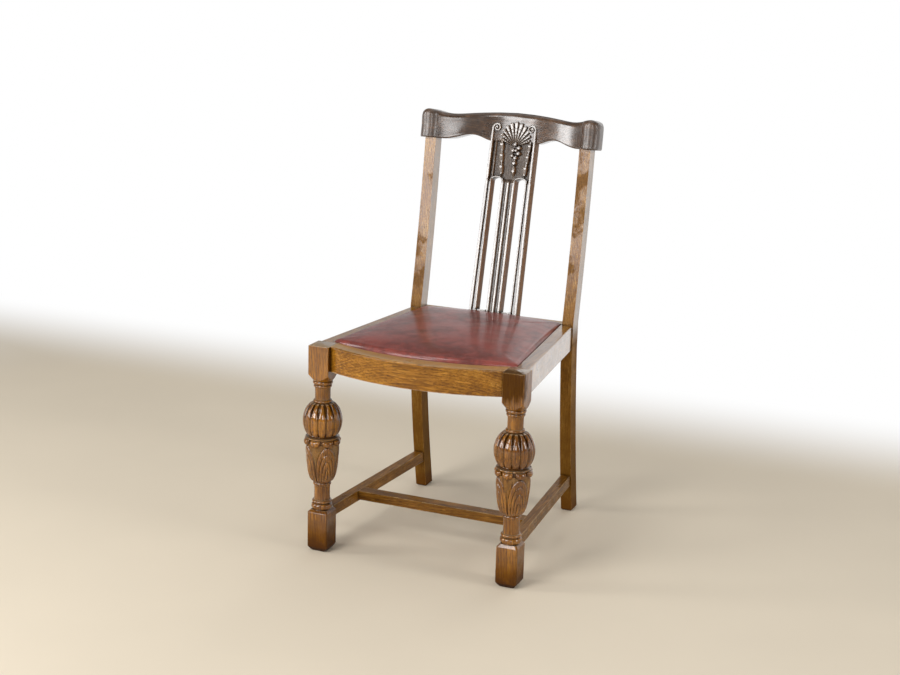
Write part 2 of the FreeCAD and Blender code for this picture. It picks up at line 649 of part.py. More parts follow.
def back_leg(name, side):
    """Sawn post. Its own origin is on the floor, in the plane of its front face at the seat."""
    body = new_body(name, x=size.post_half * side, y=size.post_line)
    lower = size.rail_bottom - size.post_flat
    upper = size.seat_rail_top + size.post_flat
    rise = size.post_top - upper
    foot_depth = (size.post_seat_depth + size.post_foot_depth) / 2
    top_depth = (size.post_seat_depth + size.post_top_depth) / 2
    lower_via = (size.post_foot_kick * LOWER_KICK_SHARE, lower * LOWER_HEIGHT_SHARE)
    upper_via = (size.post_top_kick * UPPER_KICK_SHARE, upper + rise * UPPER_HEIGHT_SHARE)
    back_top = on_crest(size.post_top_depth, 0)
    side_view = [
        (size.post_foot_kick, 0),
        (0, lower, *lower_via),
        (0, upper),
        (size.post_top_kick, size.post_top, *upper_via),
        back_top,
        (size.post_seat_depth, upper, upper_via[0] + top_depth, upper_via[1]),
        (size.post_seat_depth, lower),
        (size.post_foot_kick + size.post_foot_depth, 0, lower_via[0] + foot_depth, lower_via[1]),
    ]
    pad(body, "post", outline(body, "YZ_Plane", "side_view", side_view), size.post_width, both_ways=True)
    chamfer_edges(body, "post_foot_edges", size.post_chamfer, lambda edge: lies_at(edge, "Z", 0))
    peg = [
        on_crest(size.crest_tenon_front, -size.cut_over),
        on_crest(size.crest_tenon_front, size.crest_tenon),
        on_crest(size.post_top_depth - size.crest_tenon_shoulder, size.crest_tenon),
        on_crest(size.post_top_depth - size.crest_tenon_shoulder, -size.cut_over),
    ]
    pad(body, "crest_tenon", outline(body, "YZ_Plane", "crest_tenon_view", peg),
        size.post_width - size.crest_tenon_shoulder * 2, both_ways=True)
    low, high = tenon_heights()
    thick = size.side_tenon_thick / 2
    mortise(body, "side_rail_mortise", (-thick, -size.cut_over, low), (thick, size.side_tenon_back, high))
    inner = sided(-side, size.post_width / 2 - size.back_tenon, size.post_width / 2 + size.cut_over)
    mortise(body, "back_rail_mortise", (inner[0], size.back_tenon_set, low),
            (inner[1], size.back_tenon_set + size.back_tenon_thick, high))
    low, high = stretcher_tenon_heights()
    thick = size.stretcher_tenon_thick / 2
    face = post_front_at((low + high) / 2)
    mortise(body, "stretcher_mortise", (-thick, face - size.post_foot_depth, low),
            (thick, size.stretcher_tenon + face, high))
    return keep(name, body)


def rail_outer(y):
    """Half width over the side rails' outer faces at a distance behind the leg blocks' fronts."""
    run = size.post_line - size.block_side
    return size.side_front_half - (size.side_front_half - size.side_back_half) * (y - size.block_side) / run


def side_inner(y):
    return rail_outer(y) - size.side_band - size.side_ledge


def seat_half(y, inset):
    return rail_outer(y) - size.side_band - size.seat_gap - inset


def seat_front(inset):
    """Y of the middle of the seat's front edge, and Y of its front corners."""
    return size.front_band - size.front_bow + inset, size.block_side + size.seat_corner_clear + inset


def seat_back(inset):
    return size.post_line + size.back_ledge - size.seat_gap - inset


def seat_outline(inset):
    """Plan of the drop-in seat, drawn in by an inset; a negative inset gives its rebate."""
    middle, corner = seat_front(inset)
    back = seat_back(inset)
    return [
        (-seat_half(corner, inset), corner),
        (seat_half(corner, inset), corner, 0, middle),
        (seat_half(back, inset), back),
        (-seat_half(back, inset), back),
    ]


def cut_rebate(body):
    sketch = outline(body, "XY_Plane", "rebate_plan", seat_outline(-size.seat_gap), size.seat_rail_top)
    pocket(body, "rebate", sketch, size.rebate_depth)


def arc_depth(x, middle, end, half_span):
    """Y at x on the arc through (0, middle) and (half_span, end)."""
    rise = end - middle
    radius = (half_span * half_span + rise * rise) / (rise * 2)
    inside = radius * radius - x * x
    root = Measure(math.sqrt(float(inside)), f"sqrt({inside.text})")
    return middle + radius - root


def front_rail():
    """Bowed outside and hollow inside, rebated for the seat."""
    body = new_body("front_seat_rail")
    inner = size.block_inner
    plan = [
        (-inner, size.front_set),
        (inner, size.front_set, 0, -size.front_bow),
        (inner, size.block_side),
        (-inner, size.block_side, 0, size.front_inner),
    ]
    pad(body, "rail", outline(body, "XY_Plane", "plan", plan, size.rail_bottom), size.rail_height)
    top = float(size.seat_rail_top)
    round_edges(body, "top_arris", size.rail_round,
                lambda edge: lies_at(edge, "Z", top) and edge.BoundBox.YMin < 0)
    low, high = tenon_heights()
    near = size.front_set + size.front_tenon_set
    for side, word in ((-1, "left"), (1, "right")):
        span = sided(side, inner - size.cut_over, inner + size.front_tenon)
        tenon(body, f"{word}_tenon", (span[0], near, low), (span[1], near + size.front_tenon_thick, high))
    cut_rebate(body)
    return body


def side_rail(name, side):
    body = new_body(name)
    plan = [
        (size.side_front_half * side, size.block_side),
        (size.side_back_half * side, size.post_line),
        (side_inner(size.post_line) * side, size.post_line),
        (side_inner(size.block_side) * side, size.block_side),
    ]
    pad(body, "rail", outline(body, "XY_Plane", "plan", plan, size.rail_bottom), size.rail_height)
    top = float(size.seat_rail_top)
    least = float(size.side_back_half) - float(size.rail_round)
    round_edges(body, "top_arris", size.rail_round,
                lambda edge: lies_at(edge, "Z", top)
                and min(abs(edge.BoundBox.XMin), abs(edge.BoundBox.XMax)) > least
                and edge.BoundBox.YLength > float(size.side_band))
    low, high = tenon_heights()
    thick = size.side_tenon_thick / 2
    middle = (size.side_front_half - (size.side_band + size.side_ledge) / 2) * side
    tenon(body, "front_tenon", (middle - thick, size.block_side - size.side_tenon_front, low),
          (middle + thick, size.block_side + size.cut_over, high))
    middle = size.post_half * side
    tenon(body, "back_tenon", (middle - thick, size.post_line - size.cut_over, low),
          (middle + thick, size.post_line + size.side_tenon_back, high))
    cut_rebate(body)
    return body


def back_rail():
    """Between the posts, as deep as they are, with a mortise for the splat."""
    body = new_body("back_seat_rail")
    half = size.post_inner
    far = size.post_line + size.post_seat_depth
    plan = [(half, size.post_line), (half, far), (-half, far), (-half, size.post_line)]
    pad(body, "rail", outline(body, "XY_Plane", "plan", plan, size.rail_bottom), size.rail_height)
    low, high = tenon_heights()
    near = size.post_line + size.back_tenon_set
    for side, word in ((-1, "left"), (1, "right")):
        span = sided(side, half - size.cut_over, half + size.back_tenon)
        tenon(body, f"{word}_tenon", (span[0], near, low), (span[1], near + size.back_tenon_thick, high))
    cut_rebate(body)
    reach = size.splat_foot_width / 2 - size.splat_tenon_shoulder
    near = size.post_line + size.splat_setback + splat_tenon_start()
    mortise(body, "splat_mortise", (-reach, near, size.seat_rail_top - size.splat_tenon),
            (reach, near + size.splat_tenon_thick, size.seat_rail_top + size.cut_over))
    return body


def splat_tenon_start():
    """Front of the splat's upright tenon behind the splat's front edge, level with the rail's top."""
    lean = size.splat_rake
    return (size.splat_thick * (1 / float(cosine(lean))) - size.splat_tenon_thick) / 2


def mirrored(half):
    """A row of outline steps on the right, then the same on the left, from right to left.

    The last step of the half lies on the right; the arc or line across the middle comes next."""
    left = []
    corners = [(step[0], step[1]) for step in half]
    for number in range(len(half) - 1, 0, -1):
        x, y = corners[number - 1]
        via = half[number][2:]
        left.append((-x, y) + ((-via[0], via[1]) if via else ()))
    return left


def crest_blank():
    """Sawn crest rail. Its own origin is between the posts' front faces at their tops."""
    body = new_body("crest_rail", y=size.post_line + size.post_top_kick, z=size.post_top,
                    lean=size.crest_rake)
    half = size.crest_length / 2
    ear = (half * EAR_INNER_SHARE, size.crest_end_set * EAR_FOOT_DEPTH_SHARE)
    peak = (half * EAR_PEAK_SHARE, -size.crest_ear)
    plan = [
        (half, size.crest_end_depth),
        (half, size.crest_end_set),
        (*ear, *peak),
        (-ear[0], ear[1], 0, size.crest_hollow),
        (-half, size.crest_end_set, -peak[0], peak[1]),
        (-half, size.crest_end_depth),
    ]
    plan[0] = (half, size.crest_end_depth, 0, size.crest_back)
    blank = size.crest_height + size.cut_over
    pad(body, "blank", outline(body, "XY_Plane", "plan", plan), blank)
    through = size.leg_spread
    over = size.cut_over
    dip = size.crest_dip_height
    shoulder = dip + (size.crest_height - dip) * SHOULDER_RISE_SHARE
    ear_foot = dip + (size.crest_ear_height - dip) * EAR_FOOT_RISE_SHARE
    upper = [
        (half, size.crest_end_height),
        (half * CREST_EAR_FOOT_SHARE, ear_foot, half * CREST_EAR_VIA_SHARE, size.crest_ear_height),
        (half * CREST_SHOULDER_SHARE, shoulder, half * CREST_DIP_SHARE, dip),
    ]
    middle = (-half * CREST_SHOULDER_SHARE, shoulder, 0, size.crest_height)
    waste_top = blank + over
    top_edge = upper + [middle] + mirrored(upper)
    top_edge += [(-half - over, size.crest_end_height), (-half - over, waste_top),
                 (half + over, waste_top), (half + over, size.crest_end_height)]
    pocket(body, "top_edge", outline(body, "XZ_Plane", "top_edge_view", top_edge), through, both_ways=True)
    arch = size.crest_arch
    lower = [
        (half * CREST_LOWER_END_SHARE, 0),
        (half * CREST_CUSP_SHARE, arch, half * CREST_LOWER_VIA_SHARE, arch * LOWER_VIA_HEIGHT_SHARE),
        (half * CREST_INNER_SHARE, arch * INNER_HEIGHT_SHARE,
         half * CREST_INNER_VIA_SHARE, arch * INNER_VIA_HEIGHT_SHARE),
    ]
    middle = (-half * CREST_INNER_SHARE, arch * INNER_HEIGHT_SHARE)
    low_edge = lower + [middle] + mirrored(lower)
    low_edge += [(-half * CREST_LOWER_END_SHARE, -over), (half * CREST_LOWER_END_SHARE, -over)]
    pocket(body, "lower_edge", outline(body, "XZ_Plane", "lower_edge_view", low_edge), through,
           both_ways=True)
    reach = size.post_width / 2 - size.crest_tenon_shoulder
    for side, word in ((-1, "left"), (1, "right")):
        span = sided(side, size.post_half - reach, size.post_half + reach)
        mortise(body, f"{word}_post_mortise", (span[0], size.crest_tenon_front, -over),
                (span[1], size.post_top_depth - size.crest_tenon_shoulder, size.crest_tenon))
    return body


def splat_outline(gap, foot):
    """Front view of the splat from a height above its foot, grown by a gap all round."""
    head = size.splat_head_width / 2 + gap
    base = size.splat_foot_width / 2 + gap
    top = size.splat_height + gap
    shoulder = top - size.splat_head_drop
    turn = size.splat_corner
    at_foot = base - (base - head) * foot / (shoulder - turn)
    via = (head - turn * CORNER_SHARE, shoulder - turn * CORNER_SHARE)
    return [
        (at_foot, foot),
        (head, shoulder - turn),
        (head - turn, shoulder, *via),
        (-head + turn, shoulder, 0, top),
        (-head, shoulder - turn, -via[0], via[1]),
        (-at_foot, foot),
    ]


def splat_body(name):
    return new_body(name, y=size.post_line + size.splat_setback, z=size.seat_rail_top,
                    lean=size.splat_rake)


def back_splat():
    """Leaning splat with two slots, beaded bars and a plain head; the head is carved in place."""
    body = splat_body("back_splat")
    front = outline(body, "XZ_Plane", "front_view", splat_outline(0.0, 0.0))
    pad(body, "board", front, size.splat_thick, backwards=True)
    lean = size.splat_rake
    over = size.cut_over
    deep = size.splat_thick + over
    waste = [(0, 0), (deep, deep * tangent(lean)), (deep, -over), (-over, -over)]
    pocket(body, "foot_cut", outline(body, "YZ_Plane", "foot_cut_view", waste), size.leg_spread,
           both_ways=True)
    near = splat_tenon_start()
    far = near + size.splat_tenon_thick
    corners = [(near, over), (far, over), (far, -size.splat_tenon), (near, -size.splat_tenon)]
    peg = [(y * cosine(lean) - z * sine(lean), y * sine(lean) + z * cosine(lean)) for y, z in corners]
    pad(body, "tenon", outline(body, "YZ_Plane", "tenon_view", peg),
        size.splat_foot_width - size.splat_tenon_shoulder * 2, both_ways=True)
    slots = new_sketch(body, "XZ_Plane", "slots_view")
    near = size.mullion_width / 2
    far = near + size.slot_width
    for side in (-1, 1):
        spring = size.slot_top - size.slot_arch
        draw_outline(slots, [
            (near * side, size.slot_foot),
            (far * side, size.slot_foot),
            (far * side, spring),
            (near * side, spring, (near + far) / 2 * side, size.slot_top),
        ])
    pocket(body, "slots", slots, size.leg_spread, both_ways=True)
    grooves = new_sketch(body, "XZ_Plane", "grooves_view")
    low = size.slot_foot / 2
    high = size.slot_top + size.bead_width
    for side in (-1, 1):
        first = size.bead_width / 2
        last = size.mullion_width / 2 - size.bead_width
        draw_outline(grooves, [(first * side, low), (last * side, low), (last * side, high),
                               (first * side, high)])
        edge_low = stile_edge(low) - size.bead_width
        edge_high = stile_edge(high) - size.bead_width
        draw_outline(grooves, [
            (edge_low * side, low),
            ((edge_low - size.stile_groove) * side, low),
            ((edge_high - size.stile_groove) * side, high),
            (edge_high * side, high),
        ])
    pocket(body, "grooves", grooves, size.groove_depth)
    return keep("back_splat", body)


def stile_edge(height):
    """Half width of the splat at a height above its foot."""
    base = size.splat_foot_width / 2
    rise = size.splat_height - size.splat_head_drop - size.splat_corner
    return base - (base - size.splat_head_width / 2) * height / rise


def crest_rail():
    """The sawn crest with a housing for the splat's head."""
    blank = crest_blank()
    head = splat_body("head_housing")
    foot = size.splat_height - size.crest_height - size.crest_back
    sketch = outline(head, "XZ_Plane", "front_view", splat_outline(size.housing_gap, foot),
                     size.splat_thick)
    pad(head, "housing", sketch, size.splat_thick * 2 + size.housing_gap, backwards=True)
    housed = doc.addObject("Part::Cut", "housed_crest")
    housed.Base = blank
    housed.Tool = head
    return keep("crest_rail", housed)


def stretcher_outer(y):
    """Half width over the side stretchers at a distance behind the leg blocks' fronts."""
    run = size.post_line - size.block_side + post_front_at(size.stretcher_top)
    drop = size.side_stretcher_front - size.side_stretcher_back
    return size.side_stretcher_front - drop * (y - size.block_side) / run


def side_stretcher(name, side):
    body = new_body(name)
    low = size.stretcher_top - size.side_stretcher_height
    over = size.cut_over
    end = size.post_line + post_front_at(low) + over
    thick = size.side_stretcher_thick
    plan = [
        (stretcher_outer(size.block_side) * side, size.block_side),
        (stretcher_outer(end) * side, end),
        ((stretcher_outer(end) - thick) * side, end),
        ((stretcher_outer(size.block_side) - thick) * side, size.block_side),
    ]
    pad(body, "bar", outline(body, "XY_Plane", "plan", plan, low), size.side_stretcher_height)
    above = size.stretcher_top + over
    below = low - over
    middle = (above + below) / 2
    waste = [
        (size.post_line + post_front_at(above), above),
        (size.post_line + post_front_at(below), below, size.post_line + post_front_at(middle), middle),
        (end + over, below),
        (end + over, above),
    ]
    pocket(body, "back_shoulder", outline(body, "YZ_Plane", "back_shoulder_view", waste),
           size.leg_spread, both_ways=True)
    low, high = stretcher_tenon_heights()
    half = size.stretcher_tenon_thick / 2
    middle = (size.side_stretcher_front - thick / 2) * side
    tenon(body, "front_tenon", (middle - half, size.block_side - size.stretcher_tenon, low),
          (middle + half, size.block_side + over, high))
    middle = size.post_half * side
    face = size.post_line + post_front_at((low + high) / 2)
    tenon(body, "back_tenon", (middle - half, face - over * 2, low),
          (middle + half, face + size.stretcher_tenon, high))
    near, far, bottom, top, reach = cross_tenon_box()
    inner = sided(side, reach - size.cross_tenon - over, reach)
    mortise(body, "cross_mortise", (inner[0], near, bottom), (inner[1], far, top))
    return keep(name, body)


def cross_tenon_box():
    """Front, back, bottom and top of the cross stretcher's tenons, and how far out they reach."""
    near = size.cross_front + size.cross_tenon_shoulder
    far = size.cross_front + size.cross_depth - size.cross_tenon_shoulder
    middle = size.stretcher_top - size.cross_height / 2
    half = size.cross_tenon_height / 2
    face = stretcher_outer(size.cross_front + size.cross_depth / 2) - size.side_stretcher_thick
    return near, far, middle - half, middle + half, face + size.cross_tenon


def cross_stretcher():
    body = new_body("cross_stretcher")
    near = size.cross_front
    far = size.cross_front + size.cross_depth
    near_half = stretcher_outer(near) - size.side_stretcher_thick
    far_half = stretcher_outer(far) - size.side_stretcher_thick
    plan = [(near_half, near), (far_half, far), (-far_half, far), (-near_half, near)]
    low = size.stretcher_top - size.cross_height
    pad(body, "bar", outline(body, "XY_Plane", "plan", plan, low), size.cross_height)
    near, far, bottom, top, reach = cross_tenon_box()
    for side, word in ((-1, "left"), (1, "right")):
        span = sided(side, far_half - size.cut_over, reach)
        tenon(body, f"{word}_tenon", (span[0], near, bottom), (span[1], far, top))
    return keep("cross_stretcher", body)


def corner_block(name, side, plan):
    """Glued and screwed into the corner of two seat rails, below the seat."""
    body = new_body(name)
    low = size.ledge_top - size.corner_block_drop - size.corner_block_height
    steps = [tuple(value * (side if number % 2 == 0 else 1) for number, value in enumerate(step))
             for step in plan]
    pad(body, "block", outline(body, "XY_Plane", "plan", steps, low), size.corner_block_height)
    return body


def front_corner_plan():
    def inner(x):
        return arc_depth(x, size.front_inner, size.block_side, size.block_inner)

    first = size.block_inner - size.corner_front_reach
    middle = size.block_inner - size.corner_front_reach / 2
    far = size.block_side + size.corner_side_reach
    return [
        (first, inner(first)),
        (size.block_inner, size.block_side, middle, inner(middle)),
        (side_inner(size.block_side), size.block_side),
        (side_inner(far), far),
    ]


def back_corner_plan():
    corner = side_inner(size.post_line)
    near = size.post_line - size.corner_side_reach
    return [
        (side_inner(near), near),
        (corner, size.post_line),
        (corner - size.corner_back_reach, size.post_line),
    ]


def block_screws():
    """Seat of each screw head and the way that it drives, for the right side of the chair."""
    height = size.ledge_top - size.corner_block_drop - size.corner_block_height / 2
    bed = size.screw_bed
    x = size.block_inner - size.corner_front_reach * SCREW_FRONT_SHARE
    face = arc_depth(x, size.front_inner, size.block_side, size.block_inner)
    front = ("front_seat_rail", (x, face + bed, height), (0, -1, 0))
    y = size.block_side + size.corner_side_reach * SCREW_SIDE_SHARE
    front_side = ("side_seat_rail", (side_inner(y) - bed, y, height), (1, 0, 0))
    x = side_inner(size.post_line) - size.corner_back_reach * SCREW_SIDE_SHARE
    back = ("back_seat_rail", (x, size.post_line - bed, height), (0, 1, 0))
    y = size.post_line - size.corner_side_reach * SCREW_SIDE_SHARE
    back_side = ("side_seat_rail", (side_inner(y) - bed, y, height), (1, 0, 0))
    return {"front": (front, front_side), "back": (back, back_side)}


def drill(body, name, start, direction, radius, length):
    """Bore a round hole from a point along a direction, in the body's own frame."""
    hole = body.newObject("PartDesign::SubtractiveCylinder", name)
    hole.Radius = float(radius)
    hole.Height = float(length)
    bind(hole, "Radius", radius)
    bind(hole, "Height", length)
    turn = FreeCAD.Rotation(FreeCAD.Vector(0, 0, 1), vector(*direction))
    hole.Placement = FreeCAD.Placement(vector(*start), turn)
    for axis, value in zip("xyz", start):
        bind(hole, f"Placement.Base.{axis}", value)
    return hole


def screw_shape():
    """Round-headed wood screw, its head's underside at the origin, driving towards +Z."""
    head = Part.makeCylinder(float(size.screw_head_radius), float(size.screw_head_height),
                             vector(0, 0, -size.screw_head_height))
    shank = Part.makeCylinder(float(size.screw_radius), float(size.screw_length))
    across = float(size.screw_head_radius) * 2
    wide = float(size.screw_slot)
    slot = Part.makeBox(across, wide, float(size.screw_head_height) / 2,
                        vector(-across / 2, -wide / 2, -size.screw_head_height))
    return head.fuse(shank).removeSplitter().cut(slot)


def blocks_and_screws(rails):
    """Make the corner blocks, bore them and the rails, and place the screws."""
    plans = {"front": front_corner_plan(), "back": back_corner_plan()}
    screws = []
    for end, pair in block_screws().items():
        for side, word in ((-1, "left"), (1, "right")):
            name = f"corner_block_{end}_{word}"
            block = corner_block(name, side, plans[end])
            for number, (rail, seat, way) in enumerate(pair):
                if rail == "side_seat_rail":
                    rail = f"side_seat_rail_{word}"
                start = (seat[0] * side, seat[1], seat[2])
                direction = (way[0] * side, way[1], way[2])
                radius = size.screw_radius + size.screw_gap
                drill(block, f"screw_hole_{number}", start, direction, radius,
                      size.screw_bed + size.cut_over)
                drill(block, f"counterbore_{number}", start, [-value for value in direction],
                      size.counterbore_radius, size.corner_front_reach)
                drill(rails[rail], f"{end}_{word}_hole", start, direction, radius,
                      size.screw_length + size.screw_gap)
                turn = FreeCAD.Rotation(FreeCAD.Vector(0, 0, 1), vector(*direction))
                screw = screw_shape()
                screw.Placement = FreeCAD.Placement(vector(*start), turn)
                screws.append(screw)
            keep(name, block)
    return feature("corner_block_screws", Part.makeCompound(screws))


def feature(name, shape, z=0.0):
    """A piece whose shape is made directly, in the chair's frame from the leg blocks' fronts."""
    thing = doc.addObject("Part::Feature", f"{name}_shape")
    thing.Shape = shape
    thing.Placement = FreeCAD.Placement(vector(0, size.front_y, z), FreeCAD.Rotation())
    bind(thing, "Placement.Base.y", size.front_y)
    return keep(name, thing)


def seat_wire(inset, z):
    """The seat's outline as a closed wire at a height above the ledges."""
    edges = []
    steps = seat_outline(inset)
    for number, step in enumerate(steps):
        start = vector(steps[number - 1][0], steps[number - 1][1], z)
        end = vector(step[0], step[1], z)
        if len(step) == 2:
            edges.append(Part.makeLine(start, end))
        else:
            edges.append(Part.Arc(start, vector(step[2], step[3], z), end).toShape())
    return Part.Wire(edges)


def seat_slab(inset, low, high):
    face = Part.Face(seat_wire(inset, low))
    return face.extrude(vector(0, 0, high - low))


def crown_heights():
    """Y stations from front to back and the crown's height at each, above the seat rails."""
    front = float(seat_front(0.0)[0])
    back = float(seat_back(0.0))
    stations = []
    for share, part in CROWN_SHARES:
        y = front + (back - front) * share
        near = float(size.seat_front_crown)
        far = float(size.seat_back_crown)
        base = near + (far - near) * share
        stations.append((y, base + (float(size.seat_crown) - base) * part))
    return stations


def crowned_seat(inset):
    """The closed crowned form of the seat, drawn in by an inset on every side but its underside."""
    drop = float(size.rebate_depth)
    low = float(inset)
    edge = drop + float(size.seat_edge_rise) - float(inset)
    wires = []
    for y, crown in crown_heights():
        half = float(seat_half(Measure(y, repr(y)), 0.0)) + float(size.seat_gap)
        top = drop + crown - float(inset)
        lines = [
            Part.makeLine(vector(half, y, edge), vector(half, y, low)),
            Part.makeLine(vector(half, y, low), vector(-half, y, low)),
            Part.makeLine(vector(-half, y, low), vector(-half, y, edge)),
            Part.Arc(vector(-half, y, edge), vector(0, y, top), vector(half, y, edge)).toShape(),
        ]
        wires.append(Part.Wire(lines))
    crown = Part.makeLoft(wires, True, False)
    top = drop + float(size.seat_crown) + float(size.cut_over)
    return crown.common(seat_slab(inset, low, top))


def tack_shape():
    """A tack that drives towards +Z from its head's underside at the origin."""
    head = Part.makeCylinder(float(size.tack_head_radius), float(size.tack_head_thick),
                             vector(0, 0, -size.tack_head_thick))
    shank = Part.makeCylinder(float(size.tack_radius), float(size.tack_length))
    return head.fuse(shank).removeSplitter()


def placed(shape, x, y, z, downward=False):
    copy = shape.copy()
    turn = FreeCAD.Rotation(FreeCAD.Vector(1, 0, 0), 180 if downward else 0)
    copy.Placement = FreeCAD.Placement(vector(x, y, z), turn)
    return copy


def cover_tacks():
    """Tacks through the leather's turned-under lip."""
    wire = seat_wire(size.tack_inset, 0.0)
    count = round(wire.Length / float(size.tack_pitch))
    points = wire.discretize(Number=count + 1)[:-1]
    return Part.makeCompound([placed(tack_shape(), point.x, point.y, 0) for point in points])


def webbing():
    """Lengthwise straps, crosswise straps above them and the tacks at their ends."""
    base = float(size.leather_thick + size.seat_member_thick)
    thick = float(size.webbing_thick)
    wide = float(size.webbing_width)
    margin = size.webbing_margin
    lengthwise = []
    crosswise = []
    tacks = []
    front = seat_front(margin)
    back = float(seat_back(margin))
    corner_half = seat_half(front[1], margin)
    for number in range(LENGTHWISE_STRAPS):
        middle = float(size.lengthwise_pitch) * (number - (LENGTHWISE_STRAPS - 1) / 2)
        outer = Measure(abs(middle) + wide / 2, repr(abs(middle) + wide / 2))
        start = float(arc_depth(outer, front[0], front[1], corner_half))
        lengthwise.append(Part.makeBox(wide, back - start, thick, vector(middle - wide / 2, start, base)))
        for y in (start + float(size.webbing_tack_inset), back - float(size.webbing_tack_inset)):
            for place in tack_places():
                tacks.append(placed(tack_shape(), middle + place, y, base + thick, downward=True))
    centre = (float(front[1]) + back) / 2
    for number in range(CROSSWISE_STRAPS):
        y = centre + float(size.crosswise_pitch) * (number - (CROSSWISE_STRAPS - 1) / 2)
        reach = y + wide / 2
        half = float(seat_half(Measure(reach, repr(reach)), margin))
        crosswise.append(Part.makeBox(half * 2, wide, thick, vector(-half, y - wide / 2, base + thick)))
        for x in (-half + float(size.webbing_tack_inset), half - float(size.webbing_tack_inset)):
            for place in tack_places():
                tacks.append(placed(tack_shape(), x, y + place, base + thick * 2, downward=True))
    return [Part.makeCompound(group) for group in (lengthwise, crosswise, tacks)]


def tack_places():
    middle = (TACKS_PER_STRAP_END - 1) / 2
    return [float(size.webbing_tack_pitch) * (number - middle) for number in range(TACKS_PER_STRAP_END)]


def seat_frame_plans():
    """Plans of the four members of the seat frame."""
    inset = size.leather_thick
    steps = seat_outline(inset)
    split = size.seat_front_member
    back = seat_back(inset)
    near_back = back - size.seat_member_width
    wide = size.seat_member_width
    plans = {
        "seat_frame_front": [steps[0], steps[1], (seat_half(split, inset), split),
                             (-seat_half(split, inset), split)],
        "seat_frame_back": [(seat_half(near_back, inset), near_back), (seat_half(back, inset), back),
                            (-seat_half(back, inset), back), (-seat_half(near_back, inset), near_back)],
    }
    for side, word in ((-1, "left"), (1, "right")):
        plans[f"seat_frame_{word}"] = [
            (seat_half(split, inset) * side, split),
            (seat_half(near_back, inset) * side, near_back),
            ((seat_half(near_back, inset) - wide) * side, near_back),
            ((seat_half(split, inset) - wide) * side, split),
        ]
    return plans


def dowel_starts():
    """Lower ends of the seat frame's dowels, which lie along Y, and the pieces that each enters."""
    inset = size.leather_thick
    height = size.leather_thick + size.seat_member_thick / 2
    joints = ((size.seat_front_member, "seat_frame_front"),
              (seat_back(inset) - size.seat_member_width, "seat_frame_back"))
    starts = []
    for y, member in joints:
        for side, word in ((-1, "left"), (1, "right")):
            middle = seat_half(y, inset) - size.seat_member_width / 2
            for way in (-1, 1):
                x = (middle + size.dowel_spacing / 2 * way) * side
                start = (x, y - size.dowel_length / 2, height)
                starts.append((start, (member, f"seat_frame_{word}")))
    return starts


def drop_in_seat():
    """Seat frame, dowels, webbing, hessian, stuffing, leather, bottom cloth and tacks."""
    straps, cross_straps, strap_tacks = webbing()
    lip_tacks = cover_tacks()
    members = {}
    for name, plan in seat_frame_plans().items():
        body = new_body(name, z=size.ledge_top)
        pad(body, "member", outline(body, "XY_Plane", "plan", plan, size.leather_thick),
            size.seat_member_thick)
        members[name] = body
    dowels = []
    gap = size.joint_gap
    for number, (start, pair) in enumerate(dowel_starts()):
        hole = (start[0], start[1] - gap, start[2])
        for name in pair:
            drill(members[name], f"dowel_hole_{number}", hole, (0, 1, 0), size.dowel_radius + gap,
                  size.dowel_length + gap * 2)
        dowels.append(Part.makeCylinder(float(size.dowel_radius), float(size.dowel_length),
                                        vector(*start), FreeCAD.Vector(0, 1, 0)))
    doc.recompute()
    all_tacks = feature_tool("tack_holes", Part.makeCompound([lip_tacks, strap_tacks]))
    for name, body in members.items():
        bored = doc.addObject("Part::Cut", f"{name}_bored")
        bored.Base = body
        bored.Tool = all_tacks
        keep(name, bored)
    level = size.ledge_top
    base = float(size.leather_thick + size.seat_member_thick)
    hessian_low = base + float(size.webbing_thick) * 2
    hessian_high = hessian_low + float(size.hessian_thick)
    feature("seat_frame_dowels", Part.makeCompound(dowels), level)
    feature("webbing_lengthwise", cut_all(straps, strap_tacks), level)
    feature("webbing_crosswise", cut_all(cross_straps, strap_tacks), level)
    feature("webbing_tacks", strap_tacks, level)
    feature("hessian_sheet", seat_slab(size.hessian_margin, hessian_low, hessian_high), level)
    inner = crowned_seat(size.leather_thick)
    under = seat_slab(0.0, 0.0, base)
    well = seat_slab(size.hessian_margin, 0.0, hessian_high)
    stuffing = inner.cut(under).cut(well).cut(straps).cut(cross_straps).cut(strap_tacks)
    feature("seat_stuffing", stuffing, level)
    mouth = seat_slab(size.leather_lip, -size.cut_over, size.leather_thick + size.leather_thick)
    leather = crowned_seat(0.0).cut(inner).cut(mouth).cut(lip_tacks)
    feature("leather_cover", leather, level)
    cloth = seat_slab(size.leather_lip, size.leather_thick - size.cloth_thick, size.leather_thick)
    feature("bottom_cloth", cloth, level)
    feature("cover_tacks", lip_tacks, level)


def cut_all(pieces, tool):
    return Part.makeCompound([solid.cut(tool) for solid in pieces.Solids])


def feature_tool(name, shape):
    """A cutting shape in the seat's frame; it is no piece of the chair."""
    thing = doc.addObject("Part::Feature", name)
    thing.Shape = shape
    thing.Placement = FreeCAD.Placement(vector(0, size.front_y, size.ledge_top), FreeCAD.Rotation())
    return thing


for word, side in (("left", -1), ("right", 1)):
    front_leg(f"front_leg_{word}", side)
    back_leg(f"back_leg_{word}", side)
    side_stretcher(f"side_stretcher_{word}", side)
seat_rails = {
    "front_seat_rail": front_rail(),
    "side_seat_rail_left": side_rail("side_seat_rail_left", -1),
    "side_seat_rail_right": side_rail("side_seat_rail_right", 1),
    "back_seat_rail": back_rail(),
}
blocks_and_screws(seat_rails)
for rail_name, rail_body in seat_rails.items():
    keep(rail_name, rail_body)
cross_stretcher()
back_splat()
crest_rail()
drop_in_seat()

